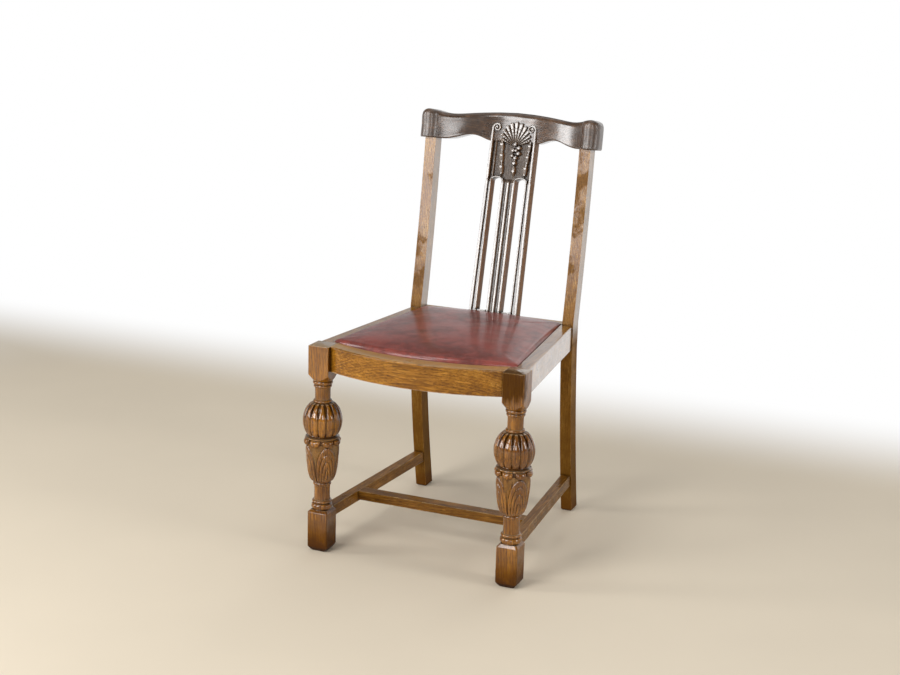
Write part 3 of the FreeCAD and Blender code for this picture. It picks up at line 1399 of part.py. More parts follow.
doc.recompute()
for item in doc.Objects:
    if "Invalid" in item.State or "Error" in item.State:
        raise RuntimeError(f"{item.Label} failed: {item.State}")
os.makedirs("parts", exist_ok=True)
for name, thing in nodes.items():
    shape = thing.Shape
    if shape.isNull() or not shape.isValid():
        raise RuntimeError(f"{name} has no valid shape")
    shape.exportStep(f"parts/{name}.step")
    box = shape.BoundBox
    print(f"{name}: {len(shape.Solids)} solids, volume {shape.Volume:.0f}, "
          f"X {box.XMin:.1f} {box.XMax:.1f}, Y {box.YMin:.1f} {box.YMax:.1f}, "
          f"Z {box.ZMin:.1f} {box.ZMax:.1f}")
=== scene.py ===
"""A dining chair in oak with carved front legs, a carved splat and a drop-in leather seat."""
import functools
import math
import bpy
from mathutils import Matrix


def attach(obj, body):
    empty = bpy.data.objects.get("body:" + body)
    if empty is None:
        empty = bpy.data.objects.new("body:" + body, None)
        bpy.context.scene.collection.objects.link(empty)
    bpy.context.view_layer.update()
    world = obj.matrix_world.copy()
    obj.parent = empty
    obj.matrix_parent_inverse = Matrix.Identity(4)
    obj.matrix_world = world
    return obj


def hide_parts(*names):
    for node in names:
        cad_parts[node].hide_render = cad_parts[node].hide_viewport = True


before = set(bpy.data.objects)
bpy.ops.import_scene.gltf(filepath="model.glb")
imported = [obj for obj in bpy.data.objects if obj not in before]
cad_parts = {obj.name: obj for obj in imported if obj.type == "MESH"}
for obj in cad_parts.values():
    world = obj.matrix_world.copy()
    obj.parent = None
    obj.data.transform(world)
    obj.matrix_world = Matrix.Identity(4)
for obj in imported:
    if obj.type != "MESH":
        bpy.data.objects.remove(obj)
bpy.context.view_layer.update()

import types

import bmesh
import bpy
import numpy as np
from mathutils import Matrix, Vector

bl_info = {
    "name": "Oak Dining Chair",
    "version": (1, 0, 0),
    "blender": (4, 5, 0),
    "location": "3D View > Sidebar > Oak Chair",
    "description": "Carves, upholsters and finishes an oak dining chair on its packed frame",
    "category": "Add Mesh",
}

MM = 0.001

# All sizes in the meshes' code are millimetres, and a piece is scaled to metres when it is made.
MIRROR = np.array([-1, 1, 1])
# Heights of the front legs' turned elements above the floor.
FOOT_TOP = 91.0
BALL_MIDDLE = 284.0
BLOCK_FOOT = 370.0
SEAT_TOP = 445.0
# A front leg's axis, half the width of its blocks and the radius of its necks.
LEG_X, LEG_Y = 211.0, -246.362
BLOCK_HALF = 22.7
NECK = 16.9
# Places of the leaning pieces: distance from the origin along Y, height and lean in degrees.
CREST_PLACE = (207.538, 821.6, 8.0)
SPLAT_PLACE = (157.438, 445.0, 13.498)
# Half the lengths of the crest rail: to where its ears start, and to its ends.
EAR_START, CREST_END = 168.0, 208.0
# Height of the splat's carved head above its foot, and the height of the whole splat.
HEAD_FOOT, SPLAT_TOP = 304.0, 434.0
# The slots beside the splat's middle bars: their middle line and half their width.
SLOT_MIDDLE, SLOT_HALF = 28.3, 11.8
# The seat's plan: the leg blocks' front faces, the leather's front and back edge from there, and
# the height of the ledges that carry the seat.
FRONT_Y = -269.062
SEAT_FRONT, SEAT_BACK = 8.7, 423.3
LEDGE = 427.0


# ---------------------------------------------------------------- meshes

def mesh_piece(name, points, faces, sunk=None):
    """A new smooth piece with its faces outwards; sunk is 1 in the bottom of the carving."""
    mesh = bpy.data.meshes.new(name)
    mesh.from_pydata((np.asarray(points) * MM).tolist(), [], [list(map(int, f)) for f in faces])
    mesh.update()
    if sunk is not None:
        layer = mesh.attributes.new("sunk", "FLOAT", "POINT")
        layer.data.foreach_set("value", np.asarray(sunk, dtype=np.float32).ravel())
    piece = bpy.data.objects.new(name, mesh)
    bpy.context.scene.collection.objects.link(piece)
    work = bmesh.new()
    work.from_mesh(mesh)
    bmesh.ops.remove_doubles(work, verts=work.verts, dist=1e-5)
    bmesh.ops.recalc_face_normals(work, faces=work.faces)
    for face in work.faces:
        face.smooth = True
    work.to_mesh(mesh)
    work.free()
    return piece


def ring_faces(rows, columns):
    """Quads over rows of points that run round a piece."""
    return [(row * columns + column, row * columns + (column + 1) % columns,
             (row + 1) * columns + (column + 1) % columns, (row + 1) * columns + column)
            for row in range(rows - 1) for column in range(columns)]


def tube_piece(name, grid, sunk=None):
    """A closed skin over rows of points that run round the piece, with its ends capped."""
    rows, columns = grid.shape[:2]
    ends = [range(row * columns, (row + 1) * columns) for row in (0, rows - 1)]
    return mesh_piece(name, grid.reshape(-1, 3), ring_faces(rows, columns) + ends, sunk)


def sharpen(piece, angle=38.0):
    """Keep true arrises crisp in the shading."""
    work = bmesh.new()
    work.from_mesh(piece.data)
    for edge in work.edges:
        if len(edge.link_faces) == 2 and edge.calc_face_angle(0.0) > math.radians(angle):
            edge.smooth = False
    work.to_mesh(piece.data)
    work.free()


def leaning(points, place):
    """Points of a leaning piece's own frame, moved to the chair's frame."""
    y0, z0, lean = place
    c, s = math.cos(math.radians(lean)), math.sin(math.radians(lean))
    x, y, z = points[..., 0], points[..., 1], points[..., 2]
    return np.stack([x, y0 + y * c + z * s, z0 + z * c - y * s], -1)


def half_round(t):
    """Height of a half circle over -1 to 1."""
    return np.sqrt(np.clip(1 - t * t, 0, 1))


def ease(t):
    """A smooth step from 0 to 1."""
    t = np.clip(t, 0, 1)
    return t * t * (3 - 2 * t)


def stations(*runs):
    """Stations in a row, from (start, end, count) runs; a negative count crowds the ends."""
    parts = []
    for start, end, count in runs:
        t = np.linspace(0, 1, abs(count), endpoint=False)
        if count < 0:
            t = (1 - np.cos(np.pi * t)) / 2
        parts.append(start + (end - start) * t)
    return np.append(np.concatenate(parts), runs[-1][1])


def lay_finish(piece, material):
    """Give a piece a new finish."""
    piece.data.materials.clear()
    piece.data.materials.append(material)


def finish_piece(piece, material, body, slot, *nodes):
    """Give a new piece its finish, its body and the nodes that it stands for."""
    lay_finish(piece, material)
    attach(piece, body)
    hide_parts(*nodes)


def amount(name, description, value, unit="LENGTH"):
    """A number in a piece's settings, in metres unless its unit is another."""
    return bpy.props.FloatProperty(name=name, description=description, default=value, unit=unit)


def paint(name, description, value):
    """A colour in a piece's settings."""
    return bpy.props.FloatVectorProperty(name=name, description=description, default=value,
                                         min=0.0, max=1.0, subtype="COLOR", size=3)


# ---------------------------------------------------------------- shader trees

class Nodes:
    """A shader tree, with short ways to add nodes to it and to join them."""

    def __init__(self, tree):
        self.tree = tree

    def put(self, kind, inputs=None, **settings):
        """Add a node of a kind, with its settings and inputs."""
        node = self.tree.nodes.new("ShaderNode" + kind)
        for name, value in settings.items():
            setattr(node, name, value)
        self.fill(node, inputs or {})
        return node

    def fill(self, node, inputs):
        """Give a node its inputs: a socket is linked, and anything else is set."""
        for name, value in inputs.items():
            socket = node.inputs[name]
            if isinstance(value, bpy.types.NodeSocket):
                self.tree.links.new(value, socket)
            elif socket.type == "RGBA":
                socket.default_value = (*value[:3], 1.0)
            else:
                socket.default_value = value

    def math(self, operation, *values):
        return self.put("Math", dict(enumerate(values)), operation=operation).outputs[0]

    def times(self, first, second):
        return self.math("MULTIPLY", first, second)

    def most(self, *values):
        """The largest of some values."""
        return functools.reduce(functools.partial(self.math, "MAXIMUM"), values)

    def vector(self, operation, first, second, output=0):
        return self.put("VectorMath", {0: first, 1: second}, operation=operation).outputs[output]

    def scaled(self, place, *scale):
        return self.vector("MULTIPLY", place, scale)

    def part(self, place, axis):
        return self.put("SeparateXYZ", {0: place}).outputs[axis]

    def place(self):
        """Where a point lies in its piece's own frame."""
        return self.put("TexCoord").outputs["Object"]

    def noise(self, place, scale, detail=2.0, rough=0.5):
        return self.put("TexNoise", {"Vector": place, "Scale": scale, "Detail": detail,
                                     "Roughness": rough}).outputs[0]

    def spread(self, value, low, high, out_low=0.0, out_high=1.0):
        """A value carried over smoothly from one range to another."""
        return self.put("MapRange", {"Value": value, "From Min": low, "From Max": high,
                                     "To Min": out_low, "To Max": out_high},
                        interpolation_type="SMOOTHSTEP").outputs["Result"]

    def between(self, share, first, second):
        """A value between two others."""
        return self.put("Mix", {0: share, 2: first, 3: second}).outputs[0]

    def tint(self, share, first, second):
        """A colour between two others."""
        return self.put("Mix", {0: share, 6: first, 7: second}, data_type="RGBA").outputs[2]

    def bump(self, shader, height, strength, distance, **more):
        """Let a height bend the light on a shader."""
        bump = self.put("Bump", {"Strength": strength, "Distance": distance, "Height": height,
                                 **more})
        self.fill(shader, {"Normal": bump.outputs[0]})


def shader_group(inputs, outputs):
    """Turn a function into a shader group; a call then adds the group to a tree."""
    def wrapped(build):
        def add(nodes, values):
            name = build.__name__
            group = bpy.data.node_groups.get(name) or make_group(name, inputs, outputs, build)
            return nodes.put("Group", values, node_tree=group).outputs
        return add
    return wrapped


def make_group(name, inputs, outputs, build):
    """A shader group with its sockets; an input with no value of its own is a vector."""
    group = bpy.data.node_groups.new(name, "ShaderNodeTree")
    for label, value in inputs.items():
        kind = "NodeSocketVector" if value is None else "NodeSocketFloat"
        socket = group.interface.new_socket(label, in_out="INPUT", socket_type=kind)
        if value is not None:
            socket.default_value = value
    for label in outputs:
        group.interface.new_socket(label, in_out="OUTPUT", socket_type="NodeSocketFloat")
    given = group.nodes.new("NodeGroupInput").outputs
    nodes = Nodes(group)
    nodes.fill(group.nodes.new("NodeGroupOutput"), build(nodes, given))
    return group


@shader_group({"Vector": None, "Coarseness": 1.0, "Rings": 0.12},
              ["Figure", "Fibres", "Pores", "Flecks", "Blotches"])
def oak_grain(nodes, given):
    """Oak, with its grain along Z of the vector: broad figure, fibres, pores and ray flecks."""
    place = given["Vector"]
    sway = nodes.noise(nodes.scaled(place, 1.0, 1.0, 0.3), 8.0)
    shift = nodes.put("CombineXYZ", {"X": nodes.times(sway, 0.012), "Y": nodes.times(sway, 0.008)})
    bent = nodes.vector("ADD", place, shift.outputs[0])
    rings = nodes.put("TexWave", {"Vector": nodes.scaled(bent, 1.0, 1.0, 0.08), "Scale": 105.0,
                                  "Distortion": 3.2, "Detail": 2.0, "Detail Scale": 0.7},
                      wave_type="BANDS", bands_direction="DIAGONAL").outputs["Fac"]
    broad = nodes.noise(nodes.scaled(bent, 1.0, 1.0, 0.12), 40.0, 3.0)
    streaks = nodes.noise(nodes.scaled(bent, 1.0, 1.0, 0.035), 340.0, 4.0, 0.68)
    fibres = nodes.noise(nodes.scaled(bent, 1.0, 1.0, 0.03), 900.0, 4.0, 0.65)
    pores = nodes.noise(nodes.scaled(bent, 1.0, 1.0, 0.04),
                        nodes.times(given["Coarseness"], 1500.0))
    in_bands = nodes.spread(rings, 0.2, 0.8, 0.045, -0.03)
    flecks = nodes.noise(nodes.scaled(bent, 1.0, 0.3, 0.22), 150.0, 1.0)
    return {"Figure": nodes.between(given["Rings"], nodes.between(0.62, broad, streaks), rings),
            "Fibres": nodes.spread(fibres, 0.28, 0.72),
            "Pores": nodes.spread(nodes.math("ADD", pores, in_bands), 0.58, 0.66),
            "Flecks": nodes.spread(flecks, 0.62, 0.72),
            "Blotches": nodes.noise(place, 17.0, 4.0, 0.6)}


@shader_group({"Edge": 0.002, "Hollow": 0.008}, ["Rubbed", "HollowShade"])
def age_marks(nodes, given):
    """Where hands and brooms have rubbed an edge, and how closed in a hollow is, for the painted
    shade there.
    """
    eased = nodes.put("Bevel", {"Radius": given["Edge"]}, samples=4).outputs[0]
    true = nodes.put("NewGeometry").outputs["Normal"]
    bare = nodes.spread(nodes.vector("DOT_PRODUCT", eased, true, "Value"), 0.995, 0.86)
    closed = nodes.put("AmbientOcclusion", {"Distance": given["Hollow"]}, samples=6)
    hollow = nodes.spread(closed.outputs["AO"], 0.92, 0.5)
    patchy = nodes.spread(nodes.noise(nodes.place(), 60.0, 3.0), 0.35, 0.62, 0.25, 1.0)
    rubbed = nodes.times(nodes.times(bare, patchy), nodes.math("SUBTRACT", 1.0, hollow))
    return {"Rubbed": rubbed, "HollowShade": hollow}


@shader_group({"Vector": None, "Base": 0.3, "Range": 0.15}, ["Roughness"])
def uneven_polish(nodes, given):
    """Uneven gloss: smears and fine scratches in the polish."""
    smears = nodes.noise(given["Vector"], 24.0, 4.0, 0.6)
    fine = nodes.noise(nodes.scaled(given["Vector"], 1.0, 0.12, 1.0), 900.0)
    both = nodes.math("ADD", nodes.spread(smears, 0.3, 0.7, -0.5, 0.5),
                      nodes.spread(fine, 0.55, 0.75, 0.0, 0.5))
    return {"Roughness": nodes.math("MULTIPLY_ADD", both, given["Range"], given["Base"])}


@shader_group({"Vector": None, "Threads": 1000.0}, ["Height", "Gaps"])
def plain_weave(nodes, given):
    """Plain weave: over and under threads in two directions."""
    waves = [nodes.math("SINE", nodes.times(nodes.times(nodes.part(given["Vector"], axis),
                                                        given["Threads"]), math.pi))
             for axis in "XY"]
    across, along = [nodes.math("ABSOLUTE", wave) for wave in waves]
    over = nodes.spread(nodes.times(*waves), -0.05, 0.05)
    return {"Height": nodes.between(over, across, along),
            "Gaps": nodes.spread(nodes.times(across, along), 0.25, 0.02)}


# ---------------------------------------------------------------- finishes

# Turns that lay the grain along X, Y or Z.
GRAIN_TURNS = {"X": (0.0, math.pi / 2, 0.0), "Y": (math.pi / 2, 0.0, 0.0), "Z": (0.0, 0.0, 0.0)}
# Faces that get a paler colour, a painted sheen, and a stronger coat: the axis they face, their
# share of the paler colour, the coat's index.
SIDES = ("X", 0.16, 2.4)
TOPS = ("Z", 0.45, 1.6)


def finish(build):
    """Turn a function into a finish; a call then makes the material once, under its name."""
    def named(name, *values, **settings):
        material = bpy.data.materials.get(name)
        if not material:
            material = bpy.data.materials.new(name)
            material.use_nodes = True
            material.node_tree.nodes.clear()
            nodes = Nodes(material.node_tree)
            shader = nodes.put("BsdfPrincipled")
            nodes.put("OutputMaterial", {"Surface": shader.outputs[0]})
            build(nodes, shader, *values, **settings)
        return material
    return named


def shade(rgb, factor, lift=0.0):
    """A colour made darker or lighter."""
    return [min(1, c * factor + lift) for c in rgb]


@finish
def oak(nodes, shader, grain, dark, mid, light, gloss=0.34, gloss_range=0.16, coat=0.7,
        coat_rough=0.14, coat_ior=1.5, shine=0.2, wear=0.6, worn=None, edge=0.002, hollow=0.008,
        deep=0.6, ground=0.7, blotch=0.5, patchy=0.3, rings=0.12, lean=0.0, darken_below=None, stain=None,
        dulled=None, dull_sides=None, pale=None, sheen_faces=SIDES, sheen_from=0.0, soft_ends=None):
    """Stained and polished oak, with painted shade in its hollows and carved recesses and a painted
    sheen on some faces. Colours run from the grain's dark lines to its light ones.
    """
    place = nodes.place()
    turned = nodes.put("Mapping", {"Vector": place, "Rotation": GRAIN_TURNS[grain]}).outputs[0]
    if lean:
        turned = nodes.put("Mapping", {"Vector": turned, "Rotation": (lean, 0.0, 0.0)}).outputs[0]
    wood = oak_grain(nodes, {"Vector": turned, "Rings": rings})
    age = age_marks(nodes, {"Edge": edge, "Hollow": hollow})
    polish = uneven_polish(nodes, {"Vector": turned, "Base": gloss, "Range": gloss_range})
    sunk = nodes.put("Attribute", attribute_name="sunk").outputs["Fac"]
    height = nodes.part(place, "Z")
    axis, sheen_share, pale_ior = sheen_faces
    facing = nodes.part(nodes.put("NewGeometry").outputs["True Normal"], axis)
    if axis == "X":
        facing = nodes.math("ABSOLUTE", facing)
    facing = nodes.spread(facing, 0.8, 0.95)

    def low_down(ragged, *levels):
        """Darker towards the floor, with the blotches for a ragged edge."""
        return nodes.spread(nodes.math("ADD", height, nodes.times(wood["Blotches"], ragged)),
                            *levels)

    # What lies over the grain, from the lowest layer up, and where the polish is dull; the
    # carving's sunk ground is darkened as painted shade.
    layers = [(nodes.spread(wood["Blotches"], 0.38, 0.66, 0.0, blotch), shade(mid, 0.5)),
              (nodes.spread(wood["Fibres"], 0.0, 1.0, 0.35, 0.0), shade(dark, 0.6)),
              (nodes.times(wood["Flecks"], 0.3), shade(light, 1.35)),
              (nodes.times(wood["Pores"], 0.75), shade(dark, 0.28)),
              (nodes.times(sunk, ground), shade(dark, 0.4))]
    dull = [nodes.times(age["HollowShade"], 0.3), nodes.times(sunk, 0.8),
            nodes.spread(wood["Blotches"], 0.44, 0.6, 0.0, patchy)]
    if dull_sides:
        layers.append((nodes.times(facing, 0.75), dull_sides))
        dull.append(facing)
    # Darker towards the floor, darkest at the very bottom.
    if darken_below:
        low = low_down(-0.06, darken_below, 0.0, 0.0, 0.75)
        layers += [(low, shade(mid, 0.4)),
                   (low_down(-0.09, 0.0, -0.03, 0.0, 0.85), shade(dark, 0.6))]
        dull.append(low)
    # A paler colour on the faces toward the axis: a painted sheen.
    if pale:
        facing = nodes.times(facing, nodes.spread(height, sheen_from - 0.07, sheen_from))
        layers.append((nodes.times(facing, sheen_share), pale))
    if stain:
        patch = dark_patch(nodes, place, stain, wood["Blotches"])
        layers.append((patch, shade(mid, 0.2)))
        dull.append(patch)
        facing = nodes.times(facing, nodes.spread(patch, 0.0, 0.8, 1.0, 0.0))
    if dulled:
        dull.append(nodes.spread(height, dulled, dulled - 0.3, 0.0, 0.9))
    # Rubbed edges are lighter from wear; the hollows are darkened as painted shade.
    layers += [(nodes.times(age["Rubbed"], wear), worn or shade(light, 1.35, 0.01)),
               (nodes.times(age["HollowShade"], deep), shade(dark, 0.25))]
    tone = grain_colours(nodes, wood["Figure"], dark, mid, light)
    for share, shown in layers:
        tone = nodes.tint(share, tone, shown)

    bare = nodes.most(*dull)
    if pale:
        bare = nodes.times(bare, nodes.spread(facing, 0.0, 1.0, 1.0, 0.0))
        coat_ior = nodes.spread(facing, 0.0, 1.0, coat_ior, pale_ior)
    sheen = nodes.spread(bare, 0.0, 1.0, shine, shine * 0.1)
    if pale and axis == "X":
        sheen = nodes.most(sheen, facing)
    if soft_ends:
        away = nodes.math("ABSOLUTE", nodes.part(place, "X"))
        coat_rough = nodes.spread(away, soft_ends - 0.008, soft_ends, coat_rough, 0.36)
    nodes.fill(shader, {"Base Color": tone, "Roughness": polish["Roughness"],
                        "Coat Weight": nodes.spread(bare, 0.0, 1.0, coat, coat * 0.1),
                        "Specular IOR Level": sheen, "Coat IOR": coat_ior,
                        "Coat Roughness": coat_rough})
    relief = nodes.math("MULTIPLY_ADD", wood["Fibres"], 0.35, nodes.times(wood["Pores"], -1.0))
    eased = nodes.put("Bevel", {"Radius": 0.0012}, samples=4).outputs[0]
    nodes.bump(shader, relief, 0.3, 0.0004, Normal=eased)


def grain_colours(nodes, figure, dark, mid, light):
    """The grain's own colours, from its dark lines to its light ones."""
    ramp = nodes.put("ValToRGB", {"Fac": figure})
    stops = ramp.color_ramp.elements
    stops[0].position, stops[0].color = 0.37, (*dark, 1.0)
    stops[1].position, stops[1].color = 0.63, (*light, 1.0)
    stops.new(0.5).color = (*mid, 1.0)
    return ramp.outputs[0]


def dark_patch(nodes, place, centre, ragged):
    """A patch where old polish has gone nearly black, streaky and with a ragged edge."""
    away = nodes.vector("DISTANCE", place, centre, "Value")
    streaky = nodes.noise(nodes.scaled(place, 1.0, 1.0, 0.1), 210.0, 3.0)
    reach = nodes.math("MULTIPLY_ADD", nodes.math("ADD", ragged, streaky), 0.05, away)
    return nodes.spread(reach, 0.11, 0.08, 0.0, 0.88)


@finish
def beech(nodes, shader):
    """Bare beech, for what the seat hides."""
    wood = oak_grain(nodes, {"Vector": nodes.place(), "Coarseness": 2.0})
    tone = nodes.tint(wood["Figure"], (0.48, 0.3, 0.16), (0.66, 0.46, 0.27))
    tone = nodes.tint(nodes.times(wood["Flecks"], 0.4), tone, (0.36, 0.2, 0.1))
    nodes.fill(shader, {"Base Color": tone,
                        "Roughness": nodes.spread(wood["Fibres"], 0.0, 1.0, 0.62, 0.48)})
    nodes.bump(shader, wood["Fibres"], 0.25, 0.0003)


@finish
def leather(nodes, shader, hide):
    """Hide with a soft sheen, mottled dye and rubbed high places."""
    place = nodes.place()
    clouds = nodes.noise(place, 11.0, 5.0, 0.62)
    small = nodes.noise(place, 70.0, 4.0, 0.6)
    dye = nodes.math("MULTIPLY_ADD", small, 0.35, nodes.times(clouds, 0.65))
    grain = nodes.put("TexVoronoi", {"Vector": place, "Scale": 620.0}, feature="DISTANCE_TO_EDGE")
    creases = nodes.spread(grain.outputs["Distance"], 0.0, 0.16)
    age = age_marks(nodes, {"Edge": 0.004, "Hollow": 0.01})
    polish = uneven_polish(nodes, {"Vector": place, "Base": 0.38, "Range": 0.1})
    tone = nodes.tint(nodes.spread(dye, 0.38, 0.6), shade(hide, 0.62), shade(hide, 1.35))
    tone = nodes.tint(nodes.spread(creases, 0.0, 1.0, 0.28, 0.0), tone, shade(hide, 0.25))
    tone = nodes.tint(nodes.times(age["Rubbed"], 0.5), tone, shade(hide, 1.8, 0.03))
    nodes.fill(shader, {"Base Color": tone, "Roughness": polish["Roughness"],
                        "Specular IOR Level": 0.3, "Coat Weight": 0.5, "Coat Roughness": 0.15})
    height = nodes.math("MULTIPLY_ADD", nodes.noise(place, 26.0, 3.0), 1.4, creases)
    nodes.bump(shader, height, 0.35, 0.0005)


@finish
def woven(nodes, shader, dark, light, threads):
    """Webbing, hessian or bottom cloth."""
    place = nodes.place()
    weave = plain_weave(nodes, {"Vector": place, "Threads": threads})
    slub = nodes.noise(place, 160.0, 3.0)
    tone = nodes.tint(nodes.spread(slub, 0.3, 0.7), dark, light)
    tone = nodes.tint(nodes.times(weave["Gaps"], 0.8), tone, shade(dark, 0.25))
    nodes.fill(shader, {"Base Color": tone, "Roughness": nodes.spread(slub, 0.2, 0.8, 0.95, 0.78)})
    nodes.bump(shader, weave["Height"], 0.6, 0.0005)


@finish
def steel(nodes, shader, tone, rust):
    """Tacks and screws with some rust."""
    bloom = nodes.spread(nodes.noise(nodes.place(), 420.0, 4.0), 0.45, 0.65, 0.0, rust)
    nodes.fill(shader, {"Base Color": nodes.tint(bloom, tone, (0.12, 0.05, 0.025)),
                        "Roughness": nodes.spread(bloom, 0.0, 1.0, 0.32, 0.8),
                        "Metallic": nodes.spread(bloom, 0.0, 1.0, 1.0, 0.1)})
    nodes.bump(shader, bloom, 0.3, 0.0002)


def leg_oak():
    # Upward faces get a painted sheen.
    return oak("turned_oak", "Z", (0.1, 0.028, 0.001), (0.26, 0.09, 0.002), (0.45, 0.18, 0.007),
               coat=0.9, coat_rough=0.09, coat_ior=1.72, shine=0.04, worn=(0.6, 0.36, 0.12),
               edge=0.003, hollow=0.014, deep=0.75, ground=0.8, blotch=0.55, rings=0.04,
               darken_below=0.05, stain=(0.2, -0.285, 0.425), pale=(0.5, 0.4, 0.26), sheen_faces=TOPS)


def post_oak():
    # The sides above the seat get a painted sheen.
    return oak("upright_oak", "Z", (0.18, 0.065, 0.007), (0.31, 0.135, 0.018), (0.46, 0.25, 0.06),
               gloss=0.4, coat=0.75, coat_rough=0.2, coat_ior=1.55, shine=0.06, wear=0.5,
               blotch=0.8, patchy=0.85, rings=0.03, darken_below=0.62, dulled=0.7,
               pale=(0.74, 0.7, 0.6), sheen_from=0.47)


def rail_oak(grain):
    """Oak of the seat rails: the side rails shine more than the front and back ones; the side
    rails' side faces and the front and back rails' tops get a painted sheen.
    """
    if grain == "X":
        look = dict(coat=0.6, coat_rough=0.15, coat_ior=1.5, shine=0.05,
                    pale=(0.62, 0.4, 0.17), sheen_faces=TOPS)
    else:
        look = dict(coat=1.0, coat_rough=0.07, coat_ior=1.7, shine=0.9, pale=(0.7, 0.63, 0.52))
    return oak(f"rail_oak_{grain.lower()}", grain, (0.13, 0.044, 0.003), (0.33, 0.13, 0.008),
               (0.54, 0.25, 0.03), wear=1.0, worn=(0.66, 0.5, 0.33), edge=0.003, blotch=0.3,
               patchy=0.1, rings=0.03, **look)


def stretcher_oak(grain):
    return oak(f"stretcher_oak_{grain.lower()}", grain, (0.1, 0.038, 0.005), (0.25, 0.103, 0.013),
               (0.4, 0.185, 0.034), coat=0.33, coat_rough=0.2, shine=0.06, wear=0.8,
               worn=(0.6, 0.42, 0.2), edge=0.0025, rings=0.03)


def crest_oak():
    return oak("crest_oak", "X", (0.03, 0.014, 0.006), (0.085, 0.042, 0.019), (0.18, 0.09, 0.042),
               gloss=0.3, gloss_range=0.12, coat=1.0, coat_rough=0.15, coat_ior=1.68, shine=0.35,
               wear=0.9, hollow=0.006, deep=0.5, rings=0.03, soft_ends=0.172)


def splat_oak():
    return oak("splat_oak", "Z", (0.07, 0.045, 0.03), (0.17, 0.12, 0.085), (0.32, 0.25, 0.19),
               gloss=0.3, gloss_range=0.12, coat=1.0, coat_rough=0.1, coat_ior=1.78, shine=0.5,
               wear=0.9, hollow=0.009, deep=0.75, ground=0.22, patchy=0.1, rings=0.03,
               lean=math.radians(13.5), dull_sides=(0.34, 0.165, 0.065))


# ---------------------------------------------------------------- front legs

def square_radius(angle, half, corner):
    """Distance from the axis to a square's side, with its corners rounded."""
    c, s = np.abs(np.cos(angle)), np.abs(np.sin(angle))
    flat = half / np.maximum(c, s)
    inner = half - corner
    along = inner * (c + s)
    inside = along * along - 2 * inner * inner + corner * corner
    round_part = along + np.sqrt(np.clip(inside, 0, None))
    beyond = np.minimum(c, s) * flat > inner
    return np.where(beyond, round_part, flat)


def leg_radius(angle, z, carving):
    """Radius of a front leg at angles round its axis and heights above the floor."""
    shape = np.broadcast(angle, z).shape
    angle, z = np.broadcast_to(angle, shape), np.broadcast_to(z, shape)

    def bead(low, high, edge, middle):
        """A turned bead between two heights: its radius at its edges and in its middle."""
        return low, high, edge + (middle - edge) * half_round((2 * z - low - high) / (high - low))

    wall = cup_wall(angle, z, carving)
    block = square_radius(angle, BLOCK_HALF, 1.6)
    cone = 20.4 + (z - BLOCK_FOOT) * (32.4 - 20.4) / 15.0
    eased = BLOCK_HALF - 1.2 * (1 - half_round(np.clip((z - 443.8) / 1.2, 0, 1)))
    shoulder = square_radius(angle, BLOCK_HALF - 0.85 * np.clip(z - 85.5, 0, 5.5), 3.0)
    worn = np.clip((11.0 - z) / 11.0, 0, 1)
    chamfer = square_radius(angle, BLOCK_HALF - 7.5 * worn ** 1.25, 2.2)
    radius = np.full(shape, NECK)
    for low, high, values in (
            bead(FOOT_TOP, 105, NECK, 22.2),
            bead(105, 112, 17.2, 20.8),
            (112, 144, NECK - 0.5 * half_round((z - 128) / 16)),
            bead(144, 151, 17.0, 19.0),
            (151, 236, wall),
            (231, 247.5, np.maximum(np.where(z < 238, wall, 0), cup_rim(angle, z))),
            (247.5, 250.5, 33.2 + 2.4 * half_round((z - 249) / 1.6)),
            (250.5, 255.5, 27.6 + 5.4 * (1 - half_round((z - 255.5) / 5.1))),
            (255.5, 322.5, ball(angle, z, carving)),
            bead(322.5, 329, 16.6, 19.6),
            (329, 355, 16.1),
            bead(355, 361.2, 16.4, 19.0),
            bead(361.8, BLOCK_FOOT, 17.2, 20.8),
            (BLOCK_FOOT, 385, np.minimum(block, cone)),
            (385, SEAT_TOP, np.minimum(block, square_radius(angle, eased, 1.6))),
            (0, FOOT_TOP, np.minimum(np.minimum(block, shoulder), chamfer))):
        radius = np.where((z >= low) & (z <= high), values, radius)
    return radius


def ball(angle, z, carving):
    """The fluted ball: rounded lobes whose valleys open into petal-shaped hollows at the top."""
    rise = z - BALL_MIDDLE
    outer = np.sqrt(np.clip(carving.ball_radius ** 2 / MM ** 2 - 0.775 * rise ** 2, 100, None))
    turn = angle * carving.ball_lobes / (2 * math.pi)
    across = 2 * (turn - np.floor(turn)) - 1
    narrow = 1.0 - 0.34 * ease((rise - 8) / 28) - 0.12 * ease((-rise - 16) / 14)
    deep = carving.valley_depth / MM * (0.5 + 0.5 * ease((rise - 2) / 26))
    lobe = half_round(np.abs(across / narrow) ** 1.6)
    return outer - deep * (1 - lobe)


def cup_wall(angle, z, carving):
    """The cup's wall with four leaves; each is a nest of arches on a corner of the block."""
    wall = np.interp(z, [151, 155, 159, 166, 174, 184, 194, 214, 236],
                     [17.8, 21.6, 24.0, 26.6, 28.5, 30.0, 31.1, 32.7, 34.2])
    turn = (angle - math.pi / 4) / (math.pi / 2)
    across = np.abs(2 * (turn - np.floor(turn + 0.5)))
    up = np.clip((z - 151) / 83, 0, 1)
    arch = ((across / 0.97) ** 1.7 + (up / 0.98) ** 3.0) ** 0.5
    bands = arch * 4
    ridge = half_round(2 * (bands - np.floor(bands)) - 1)
    leaf = carving.leaf_relief / MM * (ridge ** 0.7 - 0.5)
    vein = 0.9 * half_round(across / 0.05) * (1 - up) * (arch < 0.75)
    outside = -1.1 + 0.5 * np.cos(across * 60)
    fade = ease((z - 151) / 6)
    return wall + fade * np.where(arch < 1.0, leaf + vein, outside)


